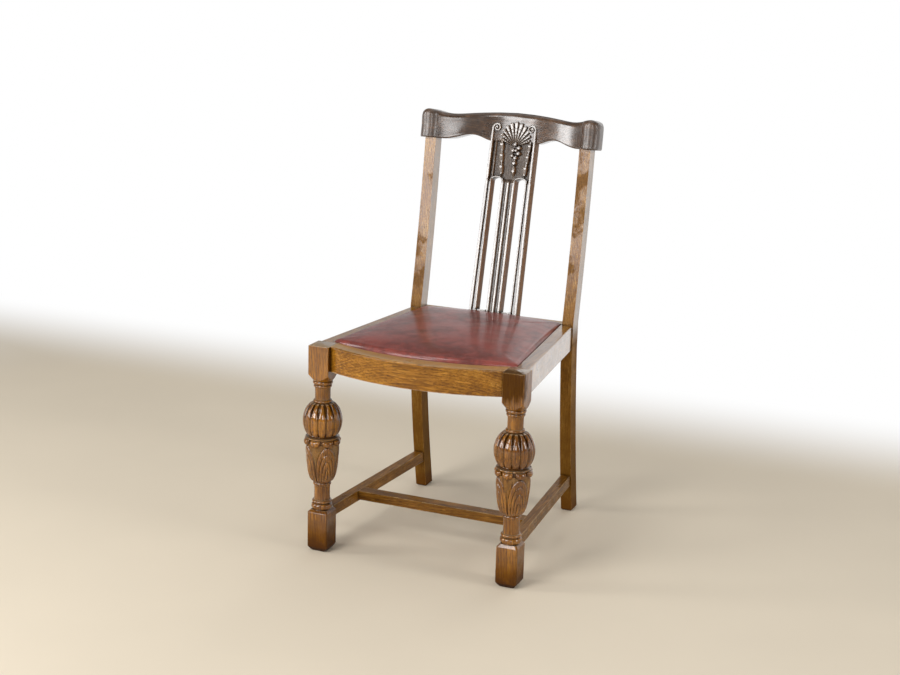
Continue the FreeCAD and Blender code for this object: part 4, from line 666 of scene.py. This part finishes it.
def cup_rim(angle, z):
    """Eight leaf tips that curl out below the cup's lip, each with a scalloped lower edge."""
    turn = angle / (math.pi / 4)
    across = turn - np.floor(turn + 0.5)
    foot = 232.5 + 7.0 * (across / 0.42) ** 2
    middle, half = (247.3 + foot) / 2, np.maximum((247.3 - foot) / 2, 0.1)
    tip = half_round(across / 0.43) ** 0.8 * half_round((z - middle) / half)
    back = 31.0 + 0.5 * half_round((z - 241.7) / 6)
    return back + (39.4 - back) * tip ** 0.8


class LegCarving(bpy.types.PropertyGroup):
    """Sizes of the front legs' carving"""
    ball_radius: amount("Ball radius", "Over the ball's lobes", 0.0412)
    ball_lobes: bpy.props.IntProperty(name="Lobes", description="Lobes round the ball", default=14)
    valley_depth: amount("Valleys", "Depth between the lobes", 0.0054)
    leaf_relief: amount("Leaf relief", "Relief of the leaves on the cup", 0.0034)


class CHAIR_OT_front_legs(bpy.types.Operator):
    """Turn and carve the two front legs"""
    bl_idname = "chair.front_legs"
    bl_label = "Front Legs"

    def execute(self, context):
        carving = context.scene.chair_legs
        around = np.linspace(0, 2 * math.pi, 300, endpoint=False)
        levels = stations((0, 11, 8), (11, 85, 5), (85, 91, 7), (91, 105, -12), (105, 112, -8),
                          (112, 144, 5), (144, 151, -8), (151, 160, 9), (160, 231, 80),
                          (231, 247.4, -30), (247.6, 250.4, -7), (250.6, 255.4, 6),
                          (255.6, 322.4, 50), (322.6, 329, -8), (329, 355, 4), (355, 361.2, -8),
                          (361.8, 370, -9), (370, 386, 18), (386, 443.6, 4), (443.8, 445, 4))
        radius = leg_radius(around[None, :], levels[:, None], carving)
        plain = types.SimpleNamespace(ball_radius=carving.ball_radius, leaf_relief=0.0,
                                      valley_depth=0.0, ball_lobes=carving.ball_lobes)
        envelope = leg_radius(around[None, :], levels[:, None], plain)
        # How far a place is sunk into the carving; the finish darkens it as painted shade and dulls
        # its coat.
        sunk = np.clip((envelope - radius) / 2.2, 0, 1)
        for side, word in ((-1, "left"), (1, "right")):
            grid = np.stack([radius * np.cos(around) + side * LEG_X,
                             radius * np.sin(around) + LEG_Y,
                             np.broadcast_to(levels[:, None], radius.shape)], -1)
            piece = tube_piece(f"carved_leg_{word}", grid, sunk)
            sharpen(piece)
            finish_piece(piece, leg_oak(), "frame", "stained_oak", f"front_leg_{word}")
        return {"FINISHED"}


# ---------------------------------------------------------------- crest rail

def arc_through(first, middle, last, x):
    """Height at x on the circle through three points."""
    (ax, ay), (bx, by), (cx, cy) = first, middle, last
    d = 2 * (ax * (by - cy) + bx * (cy - ay) + cx * (ay - by))
    ux = ((ax ** 2 + ay ** 2) * (by - cy) + (bx ** 2 + by ** 2) * (cy - ay)
          + (cx ** 2 + cy ** 2) * (ay - by)) / d
    uy = ((ax ** 2 + ay ** 2) * (cx - bx) + (bx ** 2 + by ** 2) * (ax - cx)
          + (cx ** 2 + cy ** 2) * (bx - ax)) / d
    radius = math.hypot(ax - ux, ay - uy)
    reach = np.sqrt(np.clip(radius ** 2 - (x - ux) ** 2, 0, None))
    return uy + np.where(by > uy, reach, -reach)


def crest_section(x):
    """Front, back, lower and upper edge of the crest rail at distances from its middle."""
    a = np.abs(x)
    hollow = arc_through((-EAR_START, 4), (0, 48), (EAR_START, 4), a)
    ear = arc_through((EAR_START, 4), (190, -9), (CREST_END, 5), a)
    front = np.where(a <= EAR_START, hollow, ear)
    back = arc_through((-CREST_END, 37), (0, 80), (CREST_END, 37), a)
    top = np.interp(a, [0, 40, 75, 100, 120, 141, 158, 172, 183, 191, 200, 208],
                    [69, 67.6, 64.6, 61.6, 58.6, 56.6, 58.0, 61.0, 63.2, 64, 61.5, 54])
    low = np.interp(a, [0, 56, 62, 74, 86, 98, 112, 126, 140, 152, 208],
                    [3, 3, 4.6, 9.5, 13.2, 14.6, 12.0, 6.6, 2.4, 0, 0])
    return front, back, low, top


def smoothed(values, times):
    """Run a short average along a line of values, its ends kept."""
    for _ in range(times):
        values = np.concatenate([values[:1], (values[:-2] + 2 * values[1:-1] + values[2:]) / 4,
                                 values[-1:]])
    return values


def corner_points(y, z, radius, start, steps):
    """A rounded corner of a section, turning a quarter from a start angle."""
    angles = start + np.linspace(0, math.pi / 2, steps)
    return np.stack([y[:, None] + radius[:, None] * np.cos(angles),
                     z[:, None] + radius[:, None] * np.sin(angles)], -1)


class CrestShape(bpy.types.PropertyGroup):
    """Sizes of the crest rail's rounding"""
    rolled_edge: amount("Rolled edge", "Radius of the front upper edge", 0.011)
    end_round: amount("Ends", "Rounding of the two ends", 0.004)


class CHAIR_OT_crest(bpy.types.Operator):
    """Shape the hollowed crest rail"""
    bl_idname = "chair.crest"
    bl_label = "Crest Rail"

    def execute(self, context):
        shape = context.scene.chair_crest
        turn = shape.end_round / MM
        x = stations((0, 150, 60), (150, 164, 12), (164, 172, 16), (172, CREST_END - turn, 26),
                     (CREST_END - turn, CREST_END, -12))
        front, back, low, top = crest_section(x)
        top, low = smoothed(top, 12), smoothed(low, 6)
        draw_in = turn * (1 - half_round(np.clip((x - CREST_END + turn) / turn, 0, 1)))
        front, back, low, top = front + draw_in, back - draw_in, low + draw_in, top - draw_in
        half = crest_rows(x, front, back, low, top, shape.rolled_edge / MM)
        whole = np.concatenate([half[:0:-1] * MIRROR, half])
        piece = tube_piece("hollowed_crest", leaning(whole, CREST_PLACE))
        sharpen(piece, 50)
        finish_piece(piece, crest_oak(), "frame", "stained_oak", "crest_rail")
        return {"FINISHED"}


def crest_rows(x, front, back, low, top, rolled):
    """Rounded sections along one half of the crest rail."""
    ones = np.ones_like(x)
    tall = top - low
    fine = np.minimum(3.0, tall / 6) * ones
    big = np.minimum(rolled, tall / 3) * ones
    back_top = np.minimum(6.0, tall / 4) * ones
    corners = [
        corner_points(front + big, top - big, big, math.pi / 2, 12),
        front_face(front, low + fine, top - big, 9),
        corner_points(front + fine, low + fine, fine, math.pi, 6),
        corner_points(back - fine, low + fine, fine, 1.5 * math.pi, 6),
        corner_points(back - back_top, top - back_top, back_top, 0.0, 8),
    ]
    ring = np.concatenate(corners, 1)
    return np.concatenate([np.broadcast_to(x[:, None, None], (*ring.shape[:2], 1)), ring], -1)


def front_face(front, low, high, steps):
    """The face between the lower and the rolled edge, a little hollow from top to bottom."""
    share = np.linspace(0, 1, steps + 2)[1:-1]
    z = high[:, None] + (low - high)[:, None] * share
    y = front[:, None] + 1.2 * np.sin(share * math.pi)
    return np.stack([y, z], -1)


# ---------------------------------------------------------------- splat

def raised(t, crown=0.04):
    """Height of a carved back over -1 to 1: steep banks and a slightly crowned top."""
    t = np.minimum(np.abs(t), 1)
    return (1 - crown) * ease((1 - t) / 0.36) + crown * (1 - t * t)


def stroke(x, z, path, widths, heights, crown=0.04):
    """Height of a carved, round-backed line through points, each with half width and height."""
    result = np.zeros_like(x)
    for (ax, az), (bx, bz), wa, wb, ha, hb in zip(path, path[1:], widths, widths[1:], heights,
                                                  heights[1:]):
        dx, dz = bx - ax, bz - az
        t = np.clip(((x - ax) * dx + (z - az) * dz) / (dx * dx + dz * dz), 0, 1)
        away = np.hypot(x - ax - t * dx, z - az - t * dz)
        width = wa + (wb - wa) * t
        height = ha + (hb - ha) * t
        result = np.maximum(result, height * raised(away / width, crown))
    return result


def splat_edge(z):
    """Half width of the splat at a height above its foot."""
    return np.interp(z, [0, 240, 411, 434], [57.0, 54.4, 53.6, 51.0])


def head_relief(x, z, carving):
    """Relief above the sunk ground of the head: beads with volutes, shell, berries and husks."""
    deep = carving.ground_depth / MM
    middle = carving.carving_middle / MM
    lines = [([(-40.8, h) for h in np.linspace(300, 392, 4)], [2.0] * 4, [deep * 0.5] * 4)]
    for side in (-1, 1):
        edge = [(side * (splat_edge(h) - 3.4), h) for h in np.linspace(290, 408, 12)]
        centre = (side * 40.4, 416.0)
        curl = []
        for step in range(30):
            angle, reach = -0.35 + step * 0.3, 10.0 * (1 - step / 37)
            curl.append((centre[0] + side * reach * math.cos(angle),
                         centre[1] + reach * math.sin(angle)))
        widths = [3.6] * len(edge) + [3.6 - 1.9 * step / 30 for step in range(30)]
        lines.append((edge + curl, widths, [deep * 0.98] * len(widths)))
        lines.append(([centre, (centre[0], centre[1] + 0.5)], [3.2, 3.2], [deep * 0.98] * 2, 0.08))
        # A drop of three long husks, each of which narrows and overlaps the next.
        for top, foot, out_top, out_foot in ((388, 361, 33.5, 31.2), (364, 336, 31.4, 29.0),
                                             (339, 309, 29.2, 27.0)):
            husk = [(middle + side * (out_top + (out_foot - out_top) * share),
                     top + (foot - top) * share) for share in (0.0, 0.3, 0.75, 1.0)]
            lines.append((husk, [2.6, 5.2, 4.2, 1.0], [deep * 0.8, deep * 0.95, deep * 0.7, 1.0]))
    # Two hanging leaves below the berries.
    lines.append(([(middle, 348), (middle + 0.6, 340), (middle + 0.8, 331)], [3.6, 5.8, 1.6],
                  [deep * 0.8, deep * 0.95, 2.0]))
    lines.append(([(middle + 0.8, 331), (middle + 0.8, 322), (middle + 0.4, 309)],
                  [3.2, 5.2, 1.2], [deep * 0.85, deep * 0.9, 1.5]))
    punched = 0.13 * np.sin(x * 1.7 + z * 0.5) * np.sin(z * 1.5 - x * 0.4) + 0.13
    relief = np.maximum(punched, shell_relief(x, z, middle, deep))
    for line in lines:
        relief = np.maximum(relief, stroke(x, z, *line))
    for dx, h, size in ((-1, 382, 5.8), (8, 374, 6.0), (-5, 368, 5.8), (8, 362, 5.8),
                        (-6, 356, 5.0), (2, 352, 5.8), (2, 368, 4.6)):
        away = np.hypot(x - middle - dx, z - h)
        relief = np.maximum(relief, deep * 0.95 * raised(away / size, 0.08))
    return relief


def shell_relief(x, z, middle, deep):
    """A fan of touching ribs that opens upwards, each with a rounded end."""
    centre = (middle * 0.6, 377.0)
    relief = np.zeros_like(x)
    count = 11
    step = math.radians(132) / (count - 1)
    for number in range(count):
        lean = step * (number - (count - 1) / 2)
        reach = 56.0 - 17.0 * abs(lean / math.radians(66)) ** 1.6
        way = (math.sin(lean), math.cos(lean))
        far = reach / (1 + math.tan(step / 2))
        along = np.linspace(10, far, 6)
        path = [(centre[0] + way[0] * d, centre[1] + way[1] * d) for d in along]
        widths = along * math.tan(step / 2) + 0.25
        heights = np.linspace(deep * 0.5, deep * 1.0, 6)
        relief = np.maximum(relief, stroke(x, z, path, widths, heights, 0.05))
    away = np.hypot(x - centre[0], z - centre[1])
    lean = np.abs(np.arctan2(x - centre[0], z - centre[1]))
    fan = (away < 48 - 15 * (lean / 1.15) ** 1.6) & (lean < 1.2)
    return np.where(fan, np.maximum(relief, deep * (0.12 + 0.006 * away)), relief)


def bar_relief(x, z):
    """Depth of the mouldings worked along the bars: beads with hollows between them."""
    a = np.abs(x)
    edge = splat_edge(z)
    tops = np.maximum.reduce([raised(a / 3.0, 0.1), raised((a - 13.2) / 3.2, 0.1),
                              raised((edge - a - 3.4) / 3.5, 0.1),
                              raised((a - 41.9) / 1.8, 0.1) * 0.8])
    hollow = 3.4 * np.where(a < 20, np.abs(np.sin((a - 2.6) / 8.4 * math.pi)) ** 0.6, 0.9)
    return np.where(tops > 0, 1.8 * (1 - tops), 1.8 + hollow)


def splat_front(x, z, carving):
    """Depth of the splat's front face behind its foremost plane."""
    deep = carving.ground_depth / MM
    head = deep - head_relief(x, z, carving)
    a = np.abs(x)
    arch = np.hypot(a - SLOT_MIDDLE, np.maximum(z - 298, 0) * 1.45)
    rim = raised((arch - 14.2) / 2.6) * (z > 297) * (z < 316)
    head = np.where(rim > 0, np.minimum(head, deep - rim * deep * 0.9), head)
    bars = bar_relief(x, z)
    return bars + (head - bars) * ease((z - HEAD_FOOT + 8) / 8)


class SplatCarving(bpy.types.PropertyGroup):
    """Sizes of the splat's carving"""
    ground_depth: amount("Ground", "Depth of the sunk ground", 0.0102)
    carving_middle: amount("Middle", "Middle of the berries", 0.007)


class CHAIR_OT_splat(bpy.types.Operator):
    """Carve the pierced splat"""
    bl_idname = "chair.splat"
    bl_label = "Splat"

    def execute(self, context):
        carving = context.scene.chair_splat
        z = stations((0, 9.2, 4), (9.2, 10.8, 3), (10.8, 290, 40), (290, 298, 8), (298, 306, -12),
                     (306, SPLAT_TOP, 220))
        # How far the slots are open: they start square at the foot and end in an arch.
        gap = SLOT_HALF * np.where(z <= 298, ease((z - 9.2) / 1.6), half_round((z - 298) / 8))
        inner, outer = SLOT_MIDDLE - gap, SLOT_MIDDLE + gap
        points, faces, sunk = [], [], []
        for left, right, columns in ((-splat_edge(z), -outer, 56), (-inner, inner, 120),
                                     (outer, splat_edge(z), 56)):
            self.add_strip(points, faces, sunk, z, left, right, columns, carving)
        piece = mesh_piece("carved_splat", leaning(np.array(points), SPLAT_PLACE), faces, sunk)
        sharpen(piece, 55)
        finish_piece(piece, splat_oak(), "frame", "stained_oak", "back_splat")
        return {"FINISHED"}

    def add_strip(self, points, faces, sunk, z, left, right, columns, carving):
        """A strip of the splat from bottom to top, closed all round."""
        x = left[:, None] + (right - left)[:, None] * np.linspace(0, 1, columns)
        top_row = -8.0 * (x[-1] / 50.0) ** 2
        height = z[:, None] + ease((z - 380) / 54)[:, None] * top_row
        front = splat_front(x, height, carving)
        back = np.full_like(x, 25.0)
        # The foot is level with the seat although the splat leans.
        foot = ease((10 - z) / 10)[:, None] * math.tan(math.radians(SPLAT_PLACE[2]))
        ring = np.concatenate([np.stack([x, front, height + foot * front], -1),
                               np.stack([x, back, height + foot * back], -1)[:, ::-1]], 1)
        start, rows, around = len(points), len(z), ring.shape[1]
        points.extend(ring.reshape(-1, 3).tolist())
        # How deep a place lies in the carving, less on the bars; the finish darkens it as painted
        # shade and dulls its coat.
        hidden = np.clip((front - 1.6) / 3.0, 0, 1)
        hidden = hidden * np.where(height > HEAD_FOOT - 8, 1.0, 0.55)
        sunk.extend(np.concatenate([hidden, 0 * hidden], 1).ravel().tolist())
        strip = ring_faces(rows, around)
        for row in (0, rows - 1):
            for column in range(columns - 1):
                mirror = around - 1 - column
                strip.append([row * around + v for v in (column, column + 1, mirror - 1, mirror)])
        faces.extend([start + v for v in face] for face in strip)


# ---------------------------------------------------------------- seat

def rail_outer(y):
    """Half the chair's width over the side rails, at a distance behind the leg blocks' front."""
    return 227.4 - 36.8 * (y - 45.4) / 370.4


def seat_ring(inset, count):
    """Points round the seat's plan, drawn in by an inset, in the chair's frame."""
    middle, corner, back = SEAT_FRONT + inset, 52.4 + inset, SEAT_BACK - inset

    def half(y):
        return rail_outer(y) - 27.5 - inset

    sweep = half(corner)
    rise = corner - middle
    radius = (sweep ** 2 + rise ** 2) / (2 * rise)
    x = np.linspace(-sweep, sweep, count)
    front = np.stack([x, middle + radius - np.sqrt(radius ** 2 - x ** 2)], -1)
    y = np.linspace(corner, back, count)[1:]
    right = np.stack([half(y), y], -1)
    x = np.linspace(half(back), -half(back), count)[1:]
    rear = np.stack([x, np.full_like(x, back)], -1)
    y = np.linspace(back, corner, count)[1:-1]
    left = np.stack([-half(y), y], -1)
    ring = np.concatenate([front, right, rear, left])
    ring[:, 1] += FRONT_Y
    return ring


def crown_at(ring, seat):
    """Height of the leather above the ledges at places in the chair's frame."""
    x, y = ring.T
    share = np.clip((y - FRONT_Y - SEAT_FRONT) / (SEAT_BACK - SEAT_FRONT), 0, 1)
    across = np.clip(np.abs(x) / (rail_outer(y - FRONT_Y) - 27.5), 0, 1)
    swell = (1 - across ** 2.3) * (1 - np.abs(2 * share - 1) ** 2.6)
    return 23.0 + 4.0 * (1 - across ** 2) + (seat.crown / MM - 7.0) * swell


class SeatShape(bpy.types.PropertyGroup):
    """Sizes and colour of the drop-in seat"""
    crown: amount("Crown", "Middle of the seat above the rails", 0.0195)
    hide: paint("Hide", "Colour of the leather", (0.23, 0.045, 0.033))


class CHAIR_OT_seat_leather(bpy.types.Operator):
    """Stretch the leather over the stuffed seat"""
    bl_idname = "chair.seat_leather"
    bl_label = "Leather Seat"

    def execute(self, context):
        seat = context.scene.chair_seat
        piece = self.stuffed_form(seat)
        swell_leather(piece)
        finish_piece(piece, leather("oxblood_hide", seat.hide), "seat", "leather",
                     "leather_cover", "seat_stuffing")
        return {"FINISHED"}

    def stuffed_form(self, seat):
        """The stuffed seat: lip below, walls in the rebate, rounded upper edge and crowned top."""
        rows, count, edge, wall_top = [], 46, 6.5, 17.0

        def add_row(ring, z):
            rows.append(np.column_stack([ring, LEDGE + np.broadcast_to(z, len(ring))]))

        for inset, z in ((22.0, 1.5), (21.5, 0.2), (14.0, 0.1), (7.0, 0.0), (2.4, 0.1), (0.8, 0.9),
                         (0.2, 2.4), (0.1, 8.0), (0.1, 13.0), (0.0, wall_top)):
            add_row(seat_ring(inset, count), z)
        for angle in np.linspace(0, math.pi / 2, 9)[1:]:
            ring = seat_ring(edge * (1 - math.cos(angle)), count)
            add_row(ring, wall_top + (crown_at(ring, seat) - wall_top) * math.sin(angle))
        last = seat_ring(edge, count)
        centre = last.mean(0)
        for share in (0.975, 0.94, 0.89, 0.83, 0.76, 0.68, 0.6, 0.51, 0.42, 0.33, 0.24, 0.15, 0.07):
            ring = centre + (last - centre) * share
            add_row(ring, crown_at(ring, seat))
        return tube_piece("leather_seat", np.array(rows))


def swell_leather(piece, frames=20, most=0.002):
    """Let the stuffing's pressure swell the leather, by less than 2 mm and never inwards."""
    start = np.array([v.co for v in piece.data.vertices])
    held = piece.vertex_groups.new(name="held")
    held.add([v.index for v in piece.data.vertices if v.co.z / MM < LEDGE + 19.5], 1.0, "REPLACE")
    cloth = piece.modifiers.new("swell", "CLOTH")
    for name, value in (("vertex_group_mass", "held"), ("quality", 6), ("mass", 0.002),
                        ("tension_stiffness", 40), ("compression_stiffness", 40),
                        ("bending_stiffness", 2.0), ("use_pressure", True),
                        ("uniform_pressure_force", 60.0)):
        setattr(cloth.settings, name, value)
    cloth.settings.effector_weights.gravity = 0.0
    cloth.collision_settings.use_collision = False
    cloth.point_cache.frame_start = 1
    cloth.point_cache.frame_end = frames
    scene = bpy.context.scene
    for number in range(1, frames + 1):
        scene.frame_set(number)
    shaped = piece.evaluated_get(bpy.context.evaluated_depsgraph_get())
    shift = np.array([v.co for v in shaped.to_mesh().vertices]) - start
    shaped.to_mesh_clear()
    piece.modifiers.clear()
    piece.vertex_groups.clear()
    scene.frame_set(1)
    # Most of the sideways part and all of the downward part are dropped, and the rest is eased.
    shift[:, :2] *= 0.25
    shift[:, 2] = np.maximum(shift[:, 2], 0)
    length = np.linalg.norm(shift, axis=1, keepdims=True)
    for vertex, place in zip(piece.data.vertices, start + shift * (most / (most + length))):
        vertex.co = place
    piece.data.update()


class CHAIR_OT_bottom_cloth(bpy.types.Operator):
    """Stretch the cloth under the seat"""
    bl_idname = "chair.bottom_cloth"
    bl_label = "Bottom Cloth"

    def execute(self, context):
        ring = seat_ring(22.5, 30)
        middle = ring.mean(0)
        rows = []
        for share in np.linspace(1, 0.04, 16):
            place = middle + (ring - middle) * share
            sag = 0.25 * (1 - share ** 2)
            rows.append(np.column_stack([place, np.full(len(place), LEDGE + 0.85 - sag)]))
        upper = [r + np.array([0, 0, 0.5]) for r in rows[::-1]]
        piece = tube_piece("seat_bottom_cloth", np.array(rows[::-1] + upper[::-1]))
        cloth = woven("black_cambric", (0.02, 0.02, 0.022), (0.045, 0.045, 0.05), 900.0)
        finish_piece(piece, cloth, "seat", "bottom_cloth", "bottom_cloth")
        return {"FINISHED"}


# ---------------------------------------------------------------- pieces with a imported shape

def finish_nodes(material, *names):
    """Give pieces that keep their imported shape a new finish."""
    for name in names:
        lay_finish(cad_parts[name], material)


class CHAIR_OT_posts_and_rails(bpy.types.Operator):
    """Finish the posts, seat rails and stretchers"""
    bl_idname = "chair.posts_and_rails"
    bl_label = "Posts, Rails and Stretchers"

    def execute(self, context):
        for side in ("left", "right"):
            finish_nodes(post_oak(), f"back_leg_{side}")
            finish_nodes(rail_oak("Y"), f"side_seat_rail_{side}")
            finish_nodes(stretcher_oak("Y"), f"side_stretcher_{side}")
        finish_nodes(rail_oak("X"), "front_seat_rail", "back_seat_rail")
        finish_nodes(stretcher_oak("X"), "cross_stretcher")
        return {"FINISHED"}


class CHAIR_OT_seat_inside(bpy.types.Operator):
    """Finish the corner blocks, seat frame, webbing, hessian and fixings"""
    bl_idname = "chair.seat_inside"
    bl_label = "Blocks and Seat Frame"

    def execute(self, context):
        blocks = [f"corner_block_{end}_{side}" for end in ("front", "back")
                  for side in ("left", "right")]
        rails = [f"seat_frame_{word}" for word in ("front", "back", "left", "right", "dowels")]
        finish_nodes(beech("plain_beech"), *blocks, *rails)
        finish_nodes(woven("jute_webbing", (0.3, 0.2, 0.1), (0.5, 0.37, 0.21), 520.0),
                     "webbing_lengthwise", "webbing_crosswise")
        finish_nodes(woven("hessian", (0.26, 0.18, 0.09), (0.44, 0.33, 0.19), 420.0),
                     "hessian_sheet")
        finish_nodes(steel("blued_steel", (0.18, 0.19, 0.21), 0.5),
                     "webbing_tacks", "cover_tacks", "corner_block_screws")
        return {"FINISHED"}


# ---------------------------------------------------------------- stage

# The lamps: name, place, share of the window's power, width and height.
LAMPS = (
    ("window_lamp", (-1.3, -2.8, 1.4), 1.0, 1.35, 1.1),
    ("left_lamp", (-3.0, -1.5, 1.3), 0.8, 0.7, 1.5),
    ("right_window_lamp", (1.4, -2.95, 1.35), 0.42, 0.8, 1.2),
    ("front_top_lamp", (-0.6, -2.2, 2.4), 0.35, 0.8, 0.8),
    ("top_lamp", (0.0, 0.3, 3.2), 0.27, 2.5, 2.5),
    ("right_lamp", (3.0, -0.3, 1.4), 0.6, 0.7, 1.5),
    ("back_lamp", (0.4, 3.0, 2.6), 0.4, 2.2, 2.2),
)


class StudioSettings(bpy.types.PropertyGroup):
    """Levels of the studio light"""
    sky: amount("Sky", "Light from all round", 0.24, "NONE")
    room: amount("Room", "What gloss shows away from the backdrop", 0.2, "NONE")
    window: amount("Window", "Power of the window lamp", 43.0, "NONE")
    floor: paint("Floor", "Colour of the floor", (0.79, 0.69, 0.54))


class CHAIR_OT_stage(bpy.types.Operator):
    """Set the floor, the lamps and the camera"""
    bl_idname = "chair.stage"
    bl_label = "Stage"

    def execute(self, context):
        studio = context.scene.chair_studio
        self.set_camera(context.scene)
        self.set_world(context.scene, studio)
        self.set_floor(studio)
        for name, place, share, wide, tall in LAMPS:
            self.add_lamp(name, place, studio.window * share, wide, tall)
        context.scene.view_settings.view_transform = "Standard"
        return {"FINISHED"}

    def set_camera(self, scene):
        """The photograph's view: turned from the front, a little above the seat and tipped down."""
        yaw, pitch, roll = map(math.radians, (22.40, 14.41, 1.68))
        forward = Vector((-math.sin(yaw) * math.cos(pitch), math.cos(yaw) * math.cos(pitch),
                          -math.sin(pitch)))
        right = Vector((math.cos(yaw), math.sin(yaw), 0))
        up = right.cross(forward)
        across = math.cos(roll) * right + math.sin(roll) * up
        upward = -math.sin(roll) * right + math.cos(roll) * up
        data = bpy.data.cameras.new("chair_camera")
        data.sensor_width = 36.0
        data.lens = 61.48
        camera = bpy.data.objects.new("chair_camera", data)
        turn = Matrix((across, upward, -forward)).transposed()
        camera.matrix_world = Matrix.Translation((1.1794, -2.9443, 1.2436)) @ turn.to_4x4()
        scene.collection.objects.link(camera)
        scene.camera = camera

    def set_world(self, scene, studio):
        """A white backdrop, a soft sky and, in the gloss, a bright wall behind the chair."""
        world = bpy.data.worlds.new("studio")
        world.use_nodes = True
        scene.world = world
        nodes = Nodes(world.node_tree)
        nodes.tree.nodes.clear()
        path = nodes.put("LightPath").outputs
        way = nodes.put("TexCoord").outputs["Generated"]
        backdrop = nodes.times(nodes.spread(nodes.part(way, "Y"), -0.1, 0.5),
                               nodes.spread(nodes.part(way, "Z"), 0.5, 0.2))
        backdrop = nodes.times(backdrop, nodes.spread(nodes.part(way, "X"), -0.5, -0.18, 0.3, 1.0))
        shown = nodes.spread(backdrop, 0.0, 1.0, studio.room, 1.0)
        level = nodes.between(path["Is Glossy Ray"], studio.sky, shown)
        seen = nodes.most(path["Is Camera Ray"], path["Is Transmission Ray"])
        sky = nodes.put("Background", {"Color": (1, 1, 1),
                                       "Strength": nodes.between(seen, level, 1.0)})
        nodes.put("OutputWorld", {"Surface": sky.outputs[0]})

    def set_floor(self, studio):
        """A pale floor that fades into the white backdrop."""
        around = np.linspace(0, 2 * math.pi, 96, endpoint=False)
        rings = [0.02, 0.6, 1.4, 3.0, 6.0, 12.0, 30.0]
        points = [(r * math.cos(a) / MM, r * math.sin(a) / MM, -0.3) for r in rings for a in around]
        faces = ring_faces(len(rings), len(around)) + [range(len(around))]
        floor = mesh_piece("studio_floor", points, faces)
        lay_finish(floor, pale_floor("pale_floor", studio.floor))

    def add_lamp(self, name, place, power, wide, tall):
        """A rectangular lamp, turned to the middle of the chair."""
        data = bpy.data.lights.new(name, "AREA")
        data.energy = power
        data.shape = "RECTANGLE"
        data.size = wide
        data.size_y = tall
        lamp = bpy.data.objects.new(name, data)
        lamp.location = place
        to_chair = Vector((0, 0, 0.5)) - Vector(place)
        lamp.rotation_euler = to_chair.to_track_quat("-Z", "Y").to_euler()
        bpy.context.scene.collection.objects.link(lamp)


@finish
def pale_floor(nodes, shader, rgb):
    """Plain floor, faintly clouded, whose far part shows as white."""
    place = nodes.place()
    cloudy = nodes.spread(nodes.noise(place, 2.2, 3.0), 0.3, 0.7)
    nodes.fill(shader, {"Base Color": nodes.tint(cloudy, shade(rgb, 0.97), rgb), "Roughness": 0.7})
    path = nodes.put("LightPath").outputs
    seen = nodes.most(path["Is Camera Ray"], path["Is Glossy Ray"], path["Is Transmission Ray"])
    away = nodes.put("VectorMath", {0: place}, operation="LENGTH").outputs["Value"]
    far = nodes.most(nodes.spread(away, 1.6, 3.6), nodes.spread(nodes.part(place, "Y"), 0.65, 1.3))
    white = nodes.put("Emission", {"Color": (1, 1, 1), "Strength": 1.0})
    both = nodes.put("MixShader", {0: nodes.times(far, seen), 1: shader.outputs[0],
                                   2: white.outputs[0]})
    nodes.fill(nodes.tree.nodes["Material Output"], {"Surface": both.outputs[0]})


# ---------------------------------------------------------------- add-on

STEPS = (
    CHAIR_OT_stage, CHAIR_OT_posts_and_rails, CHAIR_OT_front_legs, CHAIR_OT_crest, CHAIR_OT_splat,
    CHAIR_OT_seat_inside, CHAIR_OT_seat_leather, CHAIR_OT_bottom_cloth,
)
SETTINGS = {"chair_studio": StudioSettings, "chair_legs": LegCarving, "chair_crest": CrestShape,
            "chair_splat": SplatCarving, "chair_seat": SeatShape}


class CHAIR_PT_pieces(bpy.types.Panel):
    """The chair's pieces and their sizes"""
    bl_idname = "CHAIR_PT_pieces"
    bl_label = "Oak Chair"
    bl_space_type = "VIEW_3D"
    bl_region_type = "UI"
    bl_category = "Oak Chair"

    def draw(self, context):
        for step in STEPS:
            self.layout.operator(step.bl_idname)
        for name, group in SETTINGS.items():
            box = self.layout.box()
            for field in group.__annotations__:
                box.prop(getattr(context.scene, name), field)


def register():
    for group in SETTINGS.values():
        bpy.utils.register_class(group)
    for step in STEPS:
        bpy.utils.register_class(step)
    bpy.utils.register_class(CHAIR_PT_pieces)
    for name, group in SETTINGS.items():
        setattr(bpy.types.Scene, name, bpy.props.PointerProperty(type=group))


def unregister():
    for name in SETTINGS:
        delattr(bpy.types.Scene, name)
    bpy.utils.unregister_class(CHAIR_PT_pieces)
    for step in reversed(STEPS):
        bpy.utils.unregister_class(step)
    for group in SETTINGS.values():
        bpy.utils.unregister_class(group)


def main():
    """Make the whole chair in order."""
    register()
    for step in STEPS:
        family, name = step.bl_idname.split(".")
        getattr(getattr(bpy.ops, family), name)()


if __name__ == "__main__":
    main()
